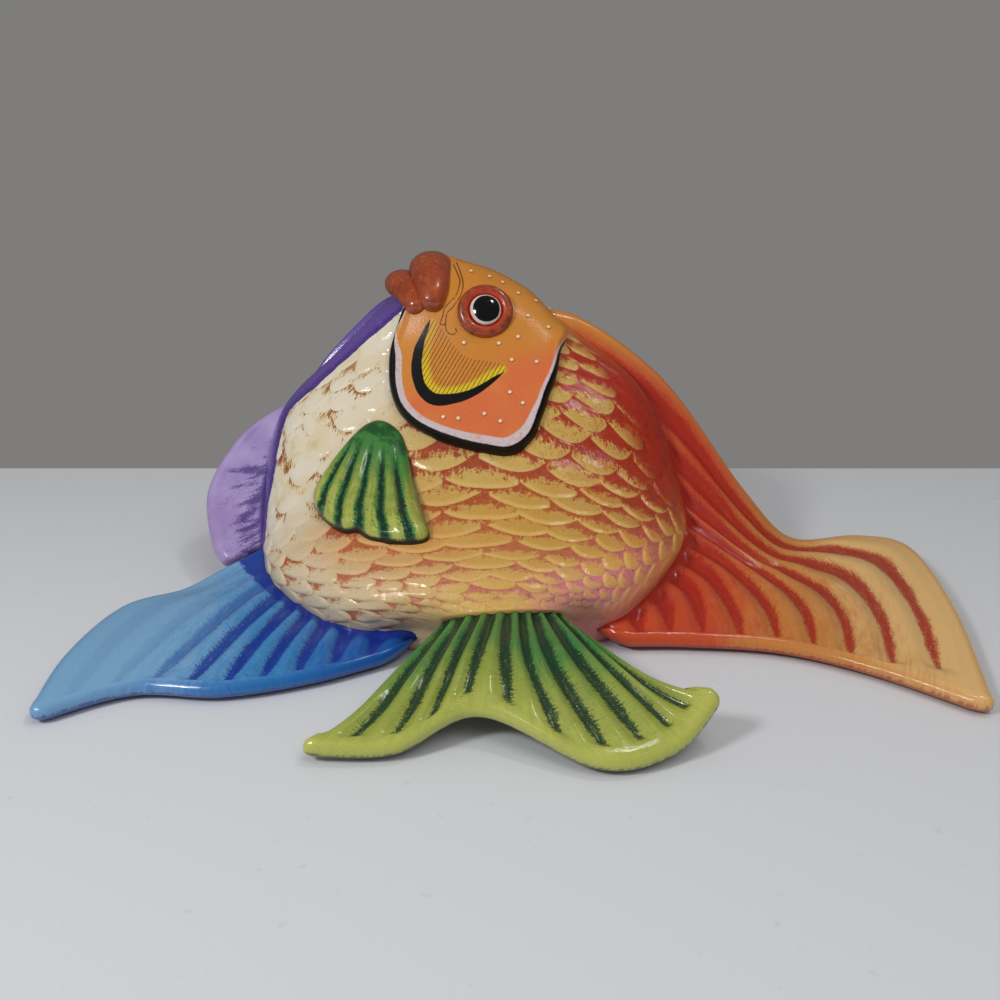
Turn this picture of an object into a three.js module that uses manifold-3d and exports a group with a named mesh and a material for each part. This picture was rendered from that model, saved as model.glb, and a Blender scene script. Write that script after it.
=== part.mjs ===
// A moulded, hand-painted fish that hangs on a wall. Millimetres, +Z out of the wall, the wall at z = 0.
// The tail points to -Y, the back fin to +X, and the head bends up and away from the wall towards +Y.
import * as THREE from 'three';
import Module from 'manifold-3d';

const wasm = await Module();
wasm.setup();

// Clearance between two pieces that touch, and how deep an applied piece starts before it is trimmed.
const GAP = 0.3;
const ROOT_DEPTH = 3;

// The body is lofted along four rails from the tail (first point) to the snout (last point).
const BELLY_RAIL = [
  [-45, -42, 12], [-82, -40, 12], [-118, -4, 14], [-131, 42, 28],
  [-128, 80, 70], [-99, 96, 100], [-76, 104, 122], [-64, 108, 131],
];
const CREST_RAIL = [
  [-14, -58, 28], [-20, -46, 38], [-24, -19, 44], [-25, 18, 56],
  [-28, 44, 82], [-34, 66, 106], [-44, 78, 126], [-56, 92, 136],
];
const DORSAL_RAIL = [
  [14, -35, 12], [37, -31, 14], [68, 17, 22], [71, 50, 40],
  [54, 75, 84], [22, 90, 110], [-14, 101, 133], [-45, 108, 143],
];
const REAR_RAIL = [
  [-10, -34, -25], [-16, -14, -25], [-24, 34, -25], [-28, 92, -25],
  [-34, 122, 15], [-38, 128, 60], [-44, 126, 108], [-54, 118, 137],
];
const SECTION_POWER = 2.3;
const BODY_WALL = 6;
const HOLLOW_FROM = 0.17;
const HOLLOW_TO = 0.9;
const REAR_SIDES = 12;
const HOLLOW_RINGS = 14;

// Lapped scales pressed into the flank, in rows from tail to snout and columns from back to belly. The bow
// is how far a scale's middle hangs below its sides, in rows, and the slant is how far the rows drop towards
// the back, as a share of the body's length.
const SCALE_ROWS = 24;
const SCALE_COLUMNS = 12;
const SCALE_DEPTH = 1.1;
const SCALE_BOW = 0.6;
const SCALE_STEP = 0.15;
const SCALE_SLANT = 0.2;
const SCALED_ROWS = 19;
const SNOUT_RINGS = 4;

// The gill cover: [degrees round the body, place along the body] of its free edge, belly to nape.
const GILL_EDGE = [
  [124, 0.776], [122, 0.714], [118, 0.662], [113.5, 0.612], [108.5, 0.566], [102, 0.53], [93, 0.497],
  [84.5, 0.476], [78, 0.502], [73, 0.552], [66, 0.607], [50, 0.68], [31, 0.716], [-10, 0.77], [-45, 0.8],
];
const COVER_PROUD = 4;
const COVER_EDGE_HEIGHT = 2;
const COVER_EDGE_ROUND = 3;
const COVER_COLUMNS = 24;
const COVER_ROWS = 7;

// Fins: rays of points in the middle of the thickness, from root to free edge, in order across the fin.
const DORSAL_FIN = {
  rays: [
    [[2, 98, 122], [25, 98, 116], [55, 89, 97], [75, 79, 77], [105, 57, 36], [130, 52, 12], [170, 65, 8],
      [190, 50, 8], [184, -16, 7], [166, -95, 4]],
    [[50, 66, 64], [101, 28, 19], [124, 18, 10], [137, 4, 8], [139, -26, 7], [131, -64, 4]],
    [[54, 40, 28], [78, 19, 20], [92, 2, 14], [100, -22, 9], [99, -47, 4]],
    [[42, 8, 15], [61, -14, 12], [62, -42, 4]],
    [[18, -28, 8], [27, -36, 7], [33, -42, 4]],
  ],
  ribs: 10,
  thickness: 7,
};
const ANAL_FIN = {
  rays: [
    [[-40, -30, 8], [-51, -42, 7], [-57, -53, 4]],
    [[-80, -20, 9], [-86, -50, 8], [-89, -71, 4]],
    [[-98, -2, 12], [-112, -46, 10], [-122, -81, 4]],
    [[-110, 14, 16], [-134, -24, 13], [-146, -52, 9], [-157, -80, 4]],
    [[-114, 26, 26], [-142, 10, 15], [-160, -4, 9], [-182, -18, 8], [-190, -58, 7], [-188, -100, 4]],
  ],
  ribs: 10,
  thickness: 7,
};
const PELVIC_FIN = {
  rays: [
    [[-118, 36, 20], [-144, 16, 13]],
    [[-118, 48, 28], [-153, 27, 21]],
    [[-118, 70, 44], [-162, 60, 36]],
    [[-116, 84, 62], [-149, 80, 58]],
    [[-108, 92, 80], [-125, 92, 71]],
    [[-88, 102, 104], [-104, 101, 97]],
    [[-64, 110, 126], [-76, 110, 125]],
  ],
  ribs: 2,
  thickness: 9,
};
const TAIL_FIN = {
  rays: [
    [[5, -40, 15], [28, -79, 16], [46, -96, 17], [64, -105, 20]],
    [[2, -44, 20], [20, -84, 18], [34, -104, 12], [45, -120, 6]],
    [[-6, -46, 23], [-1, -88, 20], [8, -110, 12], [17, -127, 4]],
    [[-15, -46, 24], [-20, -84, 22], [-22, -100, 17], [-23, -107, 11]],
    [[-26, -46, 22], [-38, -88, 19], [-46, -107, 10], [-53, -119, 4]],
    [[-35, -40, 15], [-56, -84, 13], [-72, -106, 8], [-88, -120, 5]],
  ],
  ribs: 10,
  thickness: 8,
};
const FIN_ROWS = 9;
const COLUMNS_PER_RIB = 2;
const RIB_HEIGHT = 1.6;
const FIN_EDGE_ROUND = 6;
const FIN_EDGE_SHARE = 0.3;
const FIN_CORNER = 9;

// The pectoral fin lies on the flank: [degrees, place along the body] of its corners, root to free edge.
const PECTORAL_ROOT = [[107, 0.53], [123, 0.548]];
const PECTORAL_TIP = [[101, 0.265], [135, 0.415]];
const PECTORAL_BOW = 0.025;
const PECTORAL_PROUD = 9;
const PECTORAL_EDGE = 2.7;
const PECTORAL_ROOT_FULLNESS = 0.15;
const PECTORAL_RIBS = 6;
const PECTORAL_RIB_HEIGHT = 1.8;
const PECTORAL_ROWS = 6;

// Lips: points along each roll, with the roll's radius at each point.
const UPPER_LIP = [
  [-48, 71, 124, 4.5], [-46, 81, 133, 7], [-47, 100, 140, 9], [-48, 117, 137, 7], [-50, 125, 130, 4.5],
];
const LOWER_LIP = [
  [-55, 73, 123, 4.5], [-60, 83, 129, 5.5], [-66, 100, 133, 7], [-63, 117, 130, 5.5], [-57, 125, 125, 4.5],
];
const LIP_STEPS = 12;
const LIP_SIDES = 10;

// The eye, on the gill cover: [degrees, place along the body] of its centre.
const EYE_PLACE = [69, 0.805];
const EYEBALL_RADIUS = 7.8;
const EYEBALL_PROUD = 4.5;
const EYEBALL_RIM = 1.4;
const SOCKET_WIDTH = 5.4;
const SOCKET_PROUD = 2.6;
const SOCKET_RIM = 0.8;
const SOCKET_ROUND = 1.4;
const ROUND_SIDES = 24;
const DOME_STEPS = 6;

// The hanger, inside the hollow: a batten, a strap with a barrel, a D ring and two screws.
const BATTEN_EDGE_X = 18;
const BATTEN_BACK = 6.5;
const BATTEN_THICKNESS = 8;
const BATTEN_MARGIN = 8;
const HANGER_Y = 22;
const STRAP_WIDTH = 12;
const STRAP_THICKNESS = 1;
const RING_WIRE = 2.4;
const RING_SHOULDER = 6.5;
const RING_CORNER = 4;
const RING_REACH = 18;
const RING_SPLIT = 0.5;
const RING_STEPS = 36;
const BARREL_CLEARANCE = 0.3;
const SCREW_EDGE = 6;
const SCREW_SPACING = 12;
const SCREW_HEAD_RADIUS = 3;
const SCREW_HEAD_HEIGHT = 1.6;
const SCREW_SHANK_RADIUS = 1.4;
const SCREW_LENGTH = 7;
const ARC_SEGMENTS = 10;
const WIRE_SEGMENTS = 4;

const { clamp, degToRad, lerp, smoothstep } = THREE.MathUtils;
const vector = ([x, y, z]) => new THREE.Vector3(x, y, z);
const count = (length, make) => Array.from({ length }, (_, i) => make(i));
const smoothCurve = (points) => new THREE.CatmullRomCurve3(points, false, 'catmullrom', 0.5);
const pointCurve = (points) => smoothCurve(points.map(vector));
const railCurves = [BELLY_RAIL, CREST_RAIL, DORSAL_RAIL, REAR_RAIL].map(pointCurve);

// A solid that can be cut, from a geometry whose shared corners are welded first.
function solidOf(geometry) {
  const { position } = geometry.attributes;
  const index = geometry.index ? geometry.index.array : count(position.count, (i) => i);
  const weldsPerMillimetre = 1e4;
  const welded = new Map();
  const vertices = [];
  const corner = count(position.count, (i) => {
    const point = [position.getX(i), position.getY(i), position.getZ(i)];
    const key = point.map((value) => Math.round(value * weldsPerMillimetre)).join();
    if (!welded.has(key)) {
      welded.set(key, welded.size);
      vertices.push(...point);
    }
    return welded.get(key);
  });
  const triangles = [];
  for (let i = 0; i < index.length; i += 3) {
    const [a, b, c] = [corner[index[i]], corner[index[i + 1]], corner[index[i + 2]]];
    if (a !== b && b !== c && c !== a) triangles.push(a, b, c);
  }
  return new wasm.Manifold(new wasm.Mesh({
    numProp: 3,
    vertProperties: new Float32Array(vertices),
    triVerts: new Uint32Array(triangles),
  }));
}

function geometryOf(solid) {
  const mesh = solid.getMesh();
  const geometry = new THREE.BufferGeometry();
  geometry.setAttribute('position', new THREE.BufferAttribute(mesh.vertProperties, 3));
  geometry.setIndex(new THREE.BufferAttribute(mesh.triVerts, 1));
  geometry.computeVertexNormals();
  return geometry;
}

function solidFrom(points, index) {
  const geometry = new THREE.BufferGeometry().setFromPoints(points);
  geometry.setIndex(index);
  return solidOf(geometry);
}

// The side faces between equal rings of points, laid out one ring after another.
function ringFaces(rings, sides) {
  const index = [];
  for (let row = 0; row < (rings - 1) * sides; row += sides) {
    for (let k = 0; k < sides; k += 1) {
      const next = (k + 1) % sides;
      index.push(row + k, row + next, row + sides + k, row + next, row + sides + next, row + sides + k);
    }
  }
  return index;
}

// A closed solid from equal rings, with a fan over each end.
function ringSolid(rings) {
  const sides = rings[0].length;
  const middle = (ring) => ring.reduce((sum, p) => sum.add(p), new THREE.Vector3()).divideScalar(sides);
  const points = [...rings.flat(), middle(rings[0]), middle(rings.at(-1))];
  const last = (rings.length - 1) * sides;
  const index = ringFaces(rings.length, sides);
  for (let k = 0; k < sides; k += 1) {
    const next = (k + 1) % sides;
    index.push(points.length - 2, next, k, points.length - 1, last + k, last + next);
  }
  return solidFrom(points, index);
}

// A closed solid between an upper and a lower face, each a function of s and t, both from 0 to 1.
function slabSolid(upper, lower, columns, rows) {
  const across = count(columns + 1, (i) => i / columns);
  const rings = count(rows + 1, (j) => [
    ...across.map((s) => upper(s, j / rows)),
    ...across.toReversed().map((s) => lower(s, j / rows)),
  ]);
  const ring = 2 * across.length;
  const end = rows * ring;
  const index = ringFaces(rows + 1, ring);
  for (let k = 0; k < columns; k += 1) {
    const under = ring - 1 - k;
    index.push(k, under, k + 1, k + 1, under, under - 1);
    index.push(end + k, end + k + 1, end + under, end + k + 1, end + under - 1, end + under);
  }
  return solidFrom(rings.flat(), index);
}

// The solid spread by the clearance along each axis, for cutting its neighbours.
function spread(solid) {
  const shifts = [[1, 0, 0], [-1, 0, 0], [0, 1, 0], [0, -1, 0], [0, 0, 1], [0, 0, -1]];
  const moved = shifts.map((shift) => solid.translate(shift.map((value) => value * GAP)));
  return moved.reduce((a, b) => a.add(b), solid);
}

// The height of a rounded edge, 0 to 1, at a distance in from it.
function roundedEdge(distance, radius) {
  const inward = clamp(distance / radius, 0, 1);
  return Math.sqrt(1 - (1 - inward) ** 2);
}

// Height of rounded ribs with sharp grooves between them, 0 to 1.
const ribWave = (ribs, s) => Math.abs(Math.sin(Math.PI * ribs * s));

// A point on the body: along runs from 0 at the tail to 1 at the snout, degrees from 0 at the dorsal
// edge over the crest of the flank at 90 to the belly edge at 180 and round the rear at 270.
function skinPoint(degrees, along) {
  const [belly, crest, dorsal, rear] = railCurves.map((curve) => curve.getPoint(along));
  const centre = belly.clone().add(dorsal).divideScalar(2);
  const angle = degToRad(degrees);
  const bulge = (value) => Math.sign(value) * Math.abs(value) ** (2 / SECTION_POWER);
  const out = Math.sin(angle) >= 0 ? crest.sub(centre) : centre.clone().sub(rear);
  dorsal.sub(centre).multiplyScalar(bulge(Math.cos(angle)));
  return centre.add(dorsal).addScaledVector(out, bulge(Math.sin(angle)));
}

function skinNormal(degrees, along) {
  const turn = 2;
  const step = 0.01;
  const round = skinPoint(degrees + turn, along).sub(skinPoint(degrees - turn, along));
  const ahead = skinPoint(degrees, clamp(along + step, 0, 1));
  const behind = skinPoint(degrees, clamp(along - step, 0, 1));
  return ahead.sub(behind).cross(round).normalize();
}

// The same, standing off the skin by a distance square to it.
function bodyPoint(degrees, along, standOff) {
  return skinPoint(degrees, along).addScaledVector(skinNormal(degrees, along), standOff);
}

// The corners of a section: two to a column of scales on the flank, fewer round the rear. They run from the
// belly to the back, so that the faces of a loft look outwards.
const flankTurns = count(2 * SCALE_COLUMNS, (k) => (180 * k) / (2 * SCALE_COLUMNS));
const rearTurns = count(REAR_SIDES, (k) => 180 + (180 * k) / REAR_SIDES);
const sectionTurns = [...flankTurns, ...rearTurns].reverse();

function bodyRing(along, standOff) {
  return sectionTurns.map((degrees) => bodyPoint(degrees, along, standOff));
}

// The place along the body of a row of scales, where the row crosses a section's corner.
function rowPlace(row, degrees) {
  const straight = row / SCALE_ROWS;
  const toBack = degrees < 90 ? 1 - degrees / 90 : Math.max(0, degrees / 180 - 1);
  return straight - SCALE_SLANT * toBack * Math.sin(Math.PI * straight);
}

// A ring along the free edge of a row, in points, bowed by each scale, and shifted and sunk into the skin.
function rowRing(row, shift, standOff) {
  return sectionTurns.map((degrees) => {
    const halfColumn = Math.round((degrees / 180) * 2 * SCALE_COLUMNS);
    const side = degrees > 180 ? 0.5 : (row + halfColumn) % 2;
    const along = rowPlace(row + shift + SCALE_BOW * side, degrees);
    return bodyPoint(degrees, along, standOff(degrees, along));
  });
}

// How deep the scales are pressed: not at the edges of the flank, at the tail or under the head.
function scaleDepth(degrees, along) {
  const flank = smoothstep(degrees, 0, 15) * (1 - smoothstep(degrees, 165, 180));
  return SCALE_DEPTH * flank * smoothstep(along, 0, 0.06) * (1 - smoothstep(along, 0.72, 0.78));
}

// The rings of the body grown by a distance and pressed with scales of a share of their depth: each row
// starts with a step up to its free edge and then sinks towards the next.
function bodyRings(distance, pressed) {
  const level = () => distance;
  const sunk = (degrees, along) => distance - pressed * scaleDepth(degrees, along);
  const rows = count(SCALED_ROWS, (i) => [rowRing(i + 1, -SCALE_STEP, sunk), rowRing(i + 1, 0, level)]);
  const snout = count(SNOUT_RINGS, (i) => {
    const row = lerp(SCALED_ROWS + 1, SCALE_ROWS, (i + 1) / SNOUT_RINGS);
    return sectionTurns.map((degrees) => bodyPoint(degrees, rowPlace(row, degrees), distance));
  });
  return [bodyRing(0, distance), ...rows.flat(), ...snout];
}

// The smooth body grown by the clearance, its flat ends included, for cutting what is laid on it.
function bodyClearance() {
  const rings = bodyRings(GAP, 0);
  const pushed = (ring, neighbour) => ring.map((point, k) => (
    point.clone().add(point.clone().sub(neighbour[k]).setLength(GAP))));
  return ringSolid([pushed(rings[0], rings[1]), ...rings, pushed(rings.at(-1), rings.at(-2))]);
}

function bodyHollow(clearance) {
  return ringSolid(count(HOLLOW_RINGS + 1, (i) => (
    bodyRing(lerp(HOLLOW_FROM, HOLLOW_TO, i / HOLLOW_RINGS), -BODY_WALL - clearance))));
}

function wallBlock() {
  const size = 1000;
  return solidOf(new THREE.BoxGeometry(size, size, size).translate(0, 0, -size / 2));
}

const wall = wallBlock();
const bodyCutter = bodyClearance();

function gillCover() {
  const edge = smoothCurve(GILL_EDGE.map(([degrees, along]) => new THREE.Vector3(degrees, along, 0)));
  const station = (s, t) => {
    const start = edge.getPoint(s);
    return [start.x, lerp(start.y, 1, t)];
  };
  const upper = (s, t) => {
    const here = skinPoint(...station(s, t));
    const sides = [station(s, 0), station(0, t), station(1, t)];
    const edges = sides.map((side) => skinPoint(...side).distanceTo(here));
    const round = roundedEdge(Math.min(...edges), COVER_EDGE_ROUND);
    return bodyPoint(...station(s, t), lerp(COVER_EDGE_HEIGHT, COVER_PROUD, round));
  };
  const lower = (s, t) => bodyPoint(...station(s, t), -ROOT_DEPTH);
  return slabSolid(upper, lower, COVER_COLUMNS, COVER_ROWS).subtract(bodyCutter);
}

function fin({ rays, ribs, thickness }) {
  const curves = rays.map(pointCurve);
  const crossCurve = (t) => smoothCurve(curves.map((curve) => curve.getPointAt(t)));
  const freeEdge = crossCurve(1).getLength();
  const rayLength = (s) => {
    const ray = s * (rays.length - 1);
    const first = Math.min(Math.floor(ray), rays.length - 2);
    return lerp(curves[first].getLength(), curves[first + 1].getLength(), ray - first);
  };
  const reach = (s) => {
    const corner = 1 - roundedEdge(Math.min(s, 1 - s) * freeEdge, FIN_CORNER);
    return 1 - (corner * FIN_CORNER) / Math.max(rayLength(s), 2 * FIN_CORNER);
  };
  const sheet = (s, t) => crossCurve(t * reach(s)).getPoint(s);
  const square = (s, t) => {
    const step = 0.004;
    const across = sheet(clamp(s + step, 0, 1), t).sub(sheet(clamp(s - step, 0, 1), t));
    const forward = sheet(s, clamp(t + step, 0, 1)).sub(sheet(s, clamp(t - step, 0, 1)));
    return across.cross(forward).normalize();
  };
  const halfThickness = (s, t) => {
    const inward = Math.min(Math.min(s, 1 - s) * crossCurve(t).getLength(), (1 - t) * rayLength(s));
    return (thickness / 2) * lerp(FIN_EDGE_SHARE, 1, roundedEdge(inward, FIN_EDGE_ROUND));
  };
  const groove = (s, t) => RIB_HEIGHT * (1 - ribWave(ribs, s)) * Math.sin(Math.PI * t);
  const upper = (s, t) => sheet(s, t).addScaledVector(square(s, t), halfThickness(s, t) - groove(s, t));
  const lower = (s, t) => sheet(s, t).addScaledVector(square(s, t), -halfThickness(s, t));
  const columns = COLUMNS_PER_RIB * Math.max(ribs, rays.length);
  return slabSolid(upper, lower, columns, FIN_ROWS).subtract(bodyCutter).subtract(wall);
}

function pectoralFin() {
  const corner = (i, s, t) => lerp(
    lerp(PECTORAL_ROOT[0][i], PECTORAL_ROOT[1][i], s),
    lerp(PECTORAL_TIP[0][i], PECTORAL_TIP[1][i], s),
    t,
  );
  const bow = (s, t) => PECTORAL_BOW * Math.sin(Math.PI * s) * (2 * t - 1);
  const station = (s, t) => [corner(0, s, t), corner(1, s, t) - bow(s, t)];
  const height = (s, t) => {
    const length = lerp(PECTORAL_ROOT_FULLNESS, 1, t);
    const pillow = Math.sqrt(Math.max(0, Math.min(Math.sin(Math.PI * s), Math.sin(Math.PI * length))));
    const groove = PECTORAL_RIB_HEIGHT * (1 - ribWave(PECTORAL_RIBS, s));
    return lerp(PECTORAL_EDGE, PECTORAL_PROUD - groove, pillow);
  };
  const upper = (s, t) => bodyPoint(...station(s, t), height(s, t));
  const lower = (s, t) => bodyPoint(...station(s, t), -ROOT_DEPTH);
  return slabSolid(upper, lower, PECTORAL_RIBS * COLUMNS_PER_RIB, PECTORAL_ROWS).subtract(bodyCutter);
}

function lipRoll(points) {
  const path = pointCurve(points);
  const radii = smoothCurve(points.map((point) => new THREE.Vector3(point[3], 0, 0)));
  const frames = path.computeFrenetFrames(LIP_STEPS);
  return ringSolid(count(LIP_STEPS + 1, (i) => {
    const centre = path.getPointAt(i / LIP_STEPS);
    const radius = radii.getPoint(path.getUtoTmapping(i / LIP_STEPS)).x;
    return count(LIP_SIDES, (k) => {
      const turn = (2 * Math.PI * k) / LIP_SIDES;
      return centre.clone()
        .addScaledVector(frames.normals[i], radius * Math.cos(turn))
        .addScaledVector(frames.binormals[i], radius * Math.sin(turn));
    });
  }));
}

const lathe = (profile, sides) => (
  new THREE.LatheGeometry(profile.map(([radius, height]) => new THREE.Vector2(radius, height)), sides));

// A lathed piece of the eye, standing square to the gill cover, with heights measured from the cover.
function eyePiece(profile) {
  const outward = skinNormal(...EYE_PLACE);
  const turn = new THREE.Quaternion().setFromUnitVectors(new THREE.Vector3(0, 1, 0), outward);
  const geometry = lathe(profile, ROUND_SIDES).applyQuaternion(turn);
  return solidOf(geometry.translate(...bodyPoint(...EYE_PLACE, COVER_PROUD)));
}

function eyeSocket() {
  const inner = EYEBALL_RADIUS + GAP;
  const outer = inner + SOCKET_WIDTH;
  return eyePiece([
    [inner, -ROOT_DEPTH], [outer, -ROOT_DEPTH], [outer, SOCKET_RIM],
    [outer - SOCKET_ROUND, SOCKET_PROUD], [inner + SOCKET_ROUND, SOCKET_PROUD],
    [inner, SOCKET_RIM], [inner, -ROOT_DEPTH],
  ]);
}

function eyeball() {
  const dome = count(DOME_STEPS, (i) => {
    const rise = (Math.PI / 2) * (i / DOME_STEPS);
    return [EYEBALL_RADIUS * Math.cos(rise), lerp(EYEBALL_RIM, EYEBALL_PROUD, Math.sin(rise))];
  });
  return eyePiece([[0, -ROOT_DEPTH], [EYEBALL_RADIUS, -ROOT_DEPTH], ...dome, [0, EYEBALL_PROUD]]);
}

// The hanger lies square to the wall: the strap's plate on the batten's back, its barrel past the edge.
const strapFront = BATTEN_BACK - GAP;
const strapBack = strapFront - STRAP_THICKNESS;
const strapLength = SCREW_SPACING + 2 * SCREW_EDGE;
const strapEnd = BATTEN_EDGE_X - strapLength;
const barrelBore = RING_WIRE / 2 + BARREL_CLEARANCE;
const barrelRadius = barrelBore + STRAP_THICKNESS;
const barrelX = BATTEN_EDGE_X + GAP + barrelRadius;
const barrelZ = strapBack + STRAP_THICKNESS / 2;
const screwPlaces = [strapEnd + SCREW_EDGE, strapEnd + SCREW_EDGE + SCREW_SPACING];

function screwSolid(x, clearance) {
  const seat = strapBack - GAP;
  const shank = SCREW_SHANK_RADIUS + clearance;
  const tip = strapBack + SCREW_LENGTH + clearance;
  const profile = [
    [0, seat - SCREW_HEAD_HEIGHT], [SCREW_HEAD_RADIUS, seat - SCREW_HEAD_HEIGHT], [SCREW_HEAD_RADIUS, seat],
    [shank, seat], [shank, tip], [0, tip],
  ];
  return solidOf(lathe(profile, ROUND_SIDES / 2).rotateX(Math.PI / 2).translate(x, HANGER_Y, 0));
}

const screwHoles = screwPlaces.map((x) => screwSolid(x, GAP)).reduce((a, b) => a.add(b));

function hangerBatten() {
  const width = strapLength + BATTEN_MARGIN;
  const farPastTheHollow = 400;
  const box = new THREE.BoxGeometry(width, farPastTheHollow, BATTEN_THICKNESS);
  const bar = solidOf(box.translate(BATTEN_EDGE_X - width / 2, 0, BATTEN_BACK + BATTEN_THICKNESS / 2));
  return bar.intersect(bodyHollow(GAP)).subtract(screwHoles);
}

function hangerStrap() {
  const meet = Math.asin(STRAP_THICKNESS / 2 / barrelRadius);
  const outline = new THREE.Shape();
  outline.moveTo(strapEnd, strapFront);
  outline.lineTo(strapEnd, strapBack);
  outline.absarc(barrelX, barrelZ, barrelRadius, Math.PI + meet, 3 * Math.PI - meet, false);
  outline.closePath();
  outline.holes.push(new THREE.Path().absarc(barrelX, barrelZ, barrelBore, 0, 2 * Math.PI, true));
  const options = { depth: STRAP_WIDTH, bevelEnabled: false, curveSegments: ARC_SEGMENTS };
  const strip = new THREE.ExtrudeGeometry(outline, options).rotateX(Math.PI / 2);
  return solidOf(strip.translate(0, HANGER_Y + STRAP_WIDTH / 2, 0)).subtract(screwHoles);
}

// The D ring is one bent wire whose two ends meet inside the barrel.
function hangerRing() {
  const half = STRAP_WIDTH / 2 + RING_SHOULDER;
  const reach = RING_REACH;
  const bend = RING_CORNER;
  const at = ([x, y]) => new THREE.Vector3(barrelX + x, HANGER_Y + y, barrelZ);
  const path = new THREE.CurvePath();
  const run = (Curve, ...points) => path.add(new Curve(...points.map(at)));
  run(THREE.LineCurve3, [0, RING_SPLIT / 2], [0, half - bend]);
  run(THREE.QuadraticBezierCurve3, [0, half - bend], [0, half], [bend, half]);
  run(THREE.CubicBezierCurve3, [bend, half], [reach, half], [reach, half / 2], [reach, 0]);
  run(THREE.CubicBezierCurve3, [reach, 0], [reach, -half / 2], [reach, -half], [bend, -half]);
  run(THREE.QuadraticBezierCurve3, [bend, -half], [0, -half], [0, bend - half]);
  run(THREE.LineCurve3, [0, bend - half], [0, -RING_SPLIT / 2]);
  const wire = new THREE.Shape().absarc(0, 0, RING_WIRE / 2, 0, 2 * Math.PI, false);
  const options = { extrudePath: path, steps: RING_STEPS, curveSegments: WIRE_SEGMENTS };
  return solidOf(new THREE.ExtrudeGeometry(wire, options));
}

// Paints and finishes: [colour, roughness, metalness].
const FINISHES = {
  gold: [0xd9ae5a, 0.3, 0],
  orange: [0xd7873a, 0.3, 0],
  rust: [0xa54628, 0.3, 0],
  black: [0x141010, 0.2, 0],
  green: [0x3c8232, 0.3, 0],
  leaf: [0xa5b43c, 0.3, 0],
  violet: [0x9078b8, 0.3, 0],
  blue: [0x2f74be, 0.3, 0],
  red: [0xc8553a, 0.3, 0],
  pine: [0xb59a6c, 0.7, 0],
  steel: [0xb8b8b4, 0.35, 1],
};

const fish = new THREE.Group();

function addPiece(name, finish, solid) {
  const [color, roughness, metalness] = FINISHES[finish];
  const material = new THREE.MeshStandardMaterial({ color, roughness, metalness });
  const mesh = new THREE.Mesh(geometryOf(solid), material);
  mesh.name = name;
  fish.add(mesh);
}

const cover = gillCover();
const headCutter = spread(cover).add(bodyCutter);
const upperLip = lipRoll(UPPER_LIP).subtract(headCutter);
const lowerLip = lipRoll(LOWER_LIP).subtract(headCutter).subtract(spread(upperLip));
const analFin = fin(ANAL_FIN);

addPiece('body_shell', 'gold', ringSolid(bodyRings(0, 1)).subtract(bodyHollow(0)).subtract(wall));
addPiece('gill_cover', 'orange', cover);
addPiece('upper_lip', 'rust', upperLip);
addPiece('lower_lip', 'rust', lowerLip);
addPiece('eye_socket', 'rust', eyeSocket().subtract(headCutter));
addPiece('eyeball', 'black', eyeball().subtract(headCutter));
addPiece('pectoral_fin', 'green', pectoralFin());
addPiece('dorsal_fin', 'red', fin(DORSAL_FIN).subtract(headCutter));
addPiece('anal_fin', 'blue', analFin);
addPiece('pelvic_fin', 'violet', fin(PELVIC_FIN).subtract(spread(analFin)).subtract(spread(lowerLip)));
addPiece('tail_fin', 'leaf', fin(TAIL_FIN));
addPiece('hanger_batten', 'pine', hangerBatten());
addPiece('hanger_strap', 'steel', hangerStrap());
addPiece('hanger_ring', 'steel', hangerRing());
screwPlaces.forEach((x, i) => addPiece(`hanger_screw_${i + 1}`, 'steel', screwSolid(x, 0)));

export default fish;
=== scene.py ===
import math

import bmesh
import bpy
import numpy as np
from bpy.props import FloatProperty, FloatVectorProperty, IntProperty, PointerProperty
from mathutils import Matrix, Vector
from mathutils.bvhtree import BVHTree


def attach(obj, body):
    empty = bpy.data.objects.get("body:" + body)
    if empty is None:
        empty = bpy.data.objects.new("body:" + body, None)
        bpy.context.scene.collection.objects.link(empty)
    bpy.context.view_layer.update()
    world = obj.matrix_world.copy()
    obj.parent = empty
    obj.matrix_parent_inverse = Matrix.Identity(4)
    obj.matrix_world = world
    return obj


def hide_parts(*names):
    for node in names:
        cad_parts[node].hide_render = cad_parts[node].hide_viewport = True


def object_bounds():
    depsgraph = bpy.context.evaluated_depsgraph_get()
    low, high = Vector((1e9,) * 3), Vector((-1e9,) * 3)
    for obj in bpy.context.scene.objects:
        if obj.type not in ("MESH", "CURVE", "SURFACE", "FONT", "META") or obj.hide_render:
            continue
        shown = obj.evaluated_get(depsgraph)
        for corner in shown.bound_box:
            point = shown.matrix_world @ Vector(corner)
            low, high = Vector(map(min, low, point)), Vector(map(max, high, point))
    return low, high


bl_info = {
    "name": "Painted wall fish",
    "version": (1, 0, 0),
    "blender": (4, 5, 0),
    "location": "View3D > Sidebar > Wall Fish",
    "description": "Builds a hand-painted relief fish that hangs on a wall",
    "category": "Object",
}

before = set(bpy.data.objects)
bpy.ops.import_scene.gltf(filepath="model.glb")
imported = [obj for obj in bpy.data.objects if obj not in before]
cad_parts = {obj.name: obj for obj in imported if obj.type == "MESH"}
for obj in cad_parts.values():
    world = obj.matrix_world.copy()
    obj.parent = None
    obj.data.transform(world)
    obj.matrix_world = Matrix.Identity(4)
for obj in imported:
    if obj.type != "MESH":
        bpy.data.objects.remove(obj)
CAD_LOW, CAD_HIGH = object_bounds()
FISH = "fish"
MM = 0.001

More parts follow.
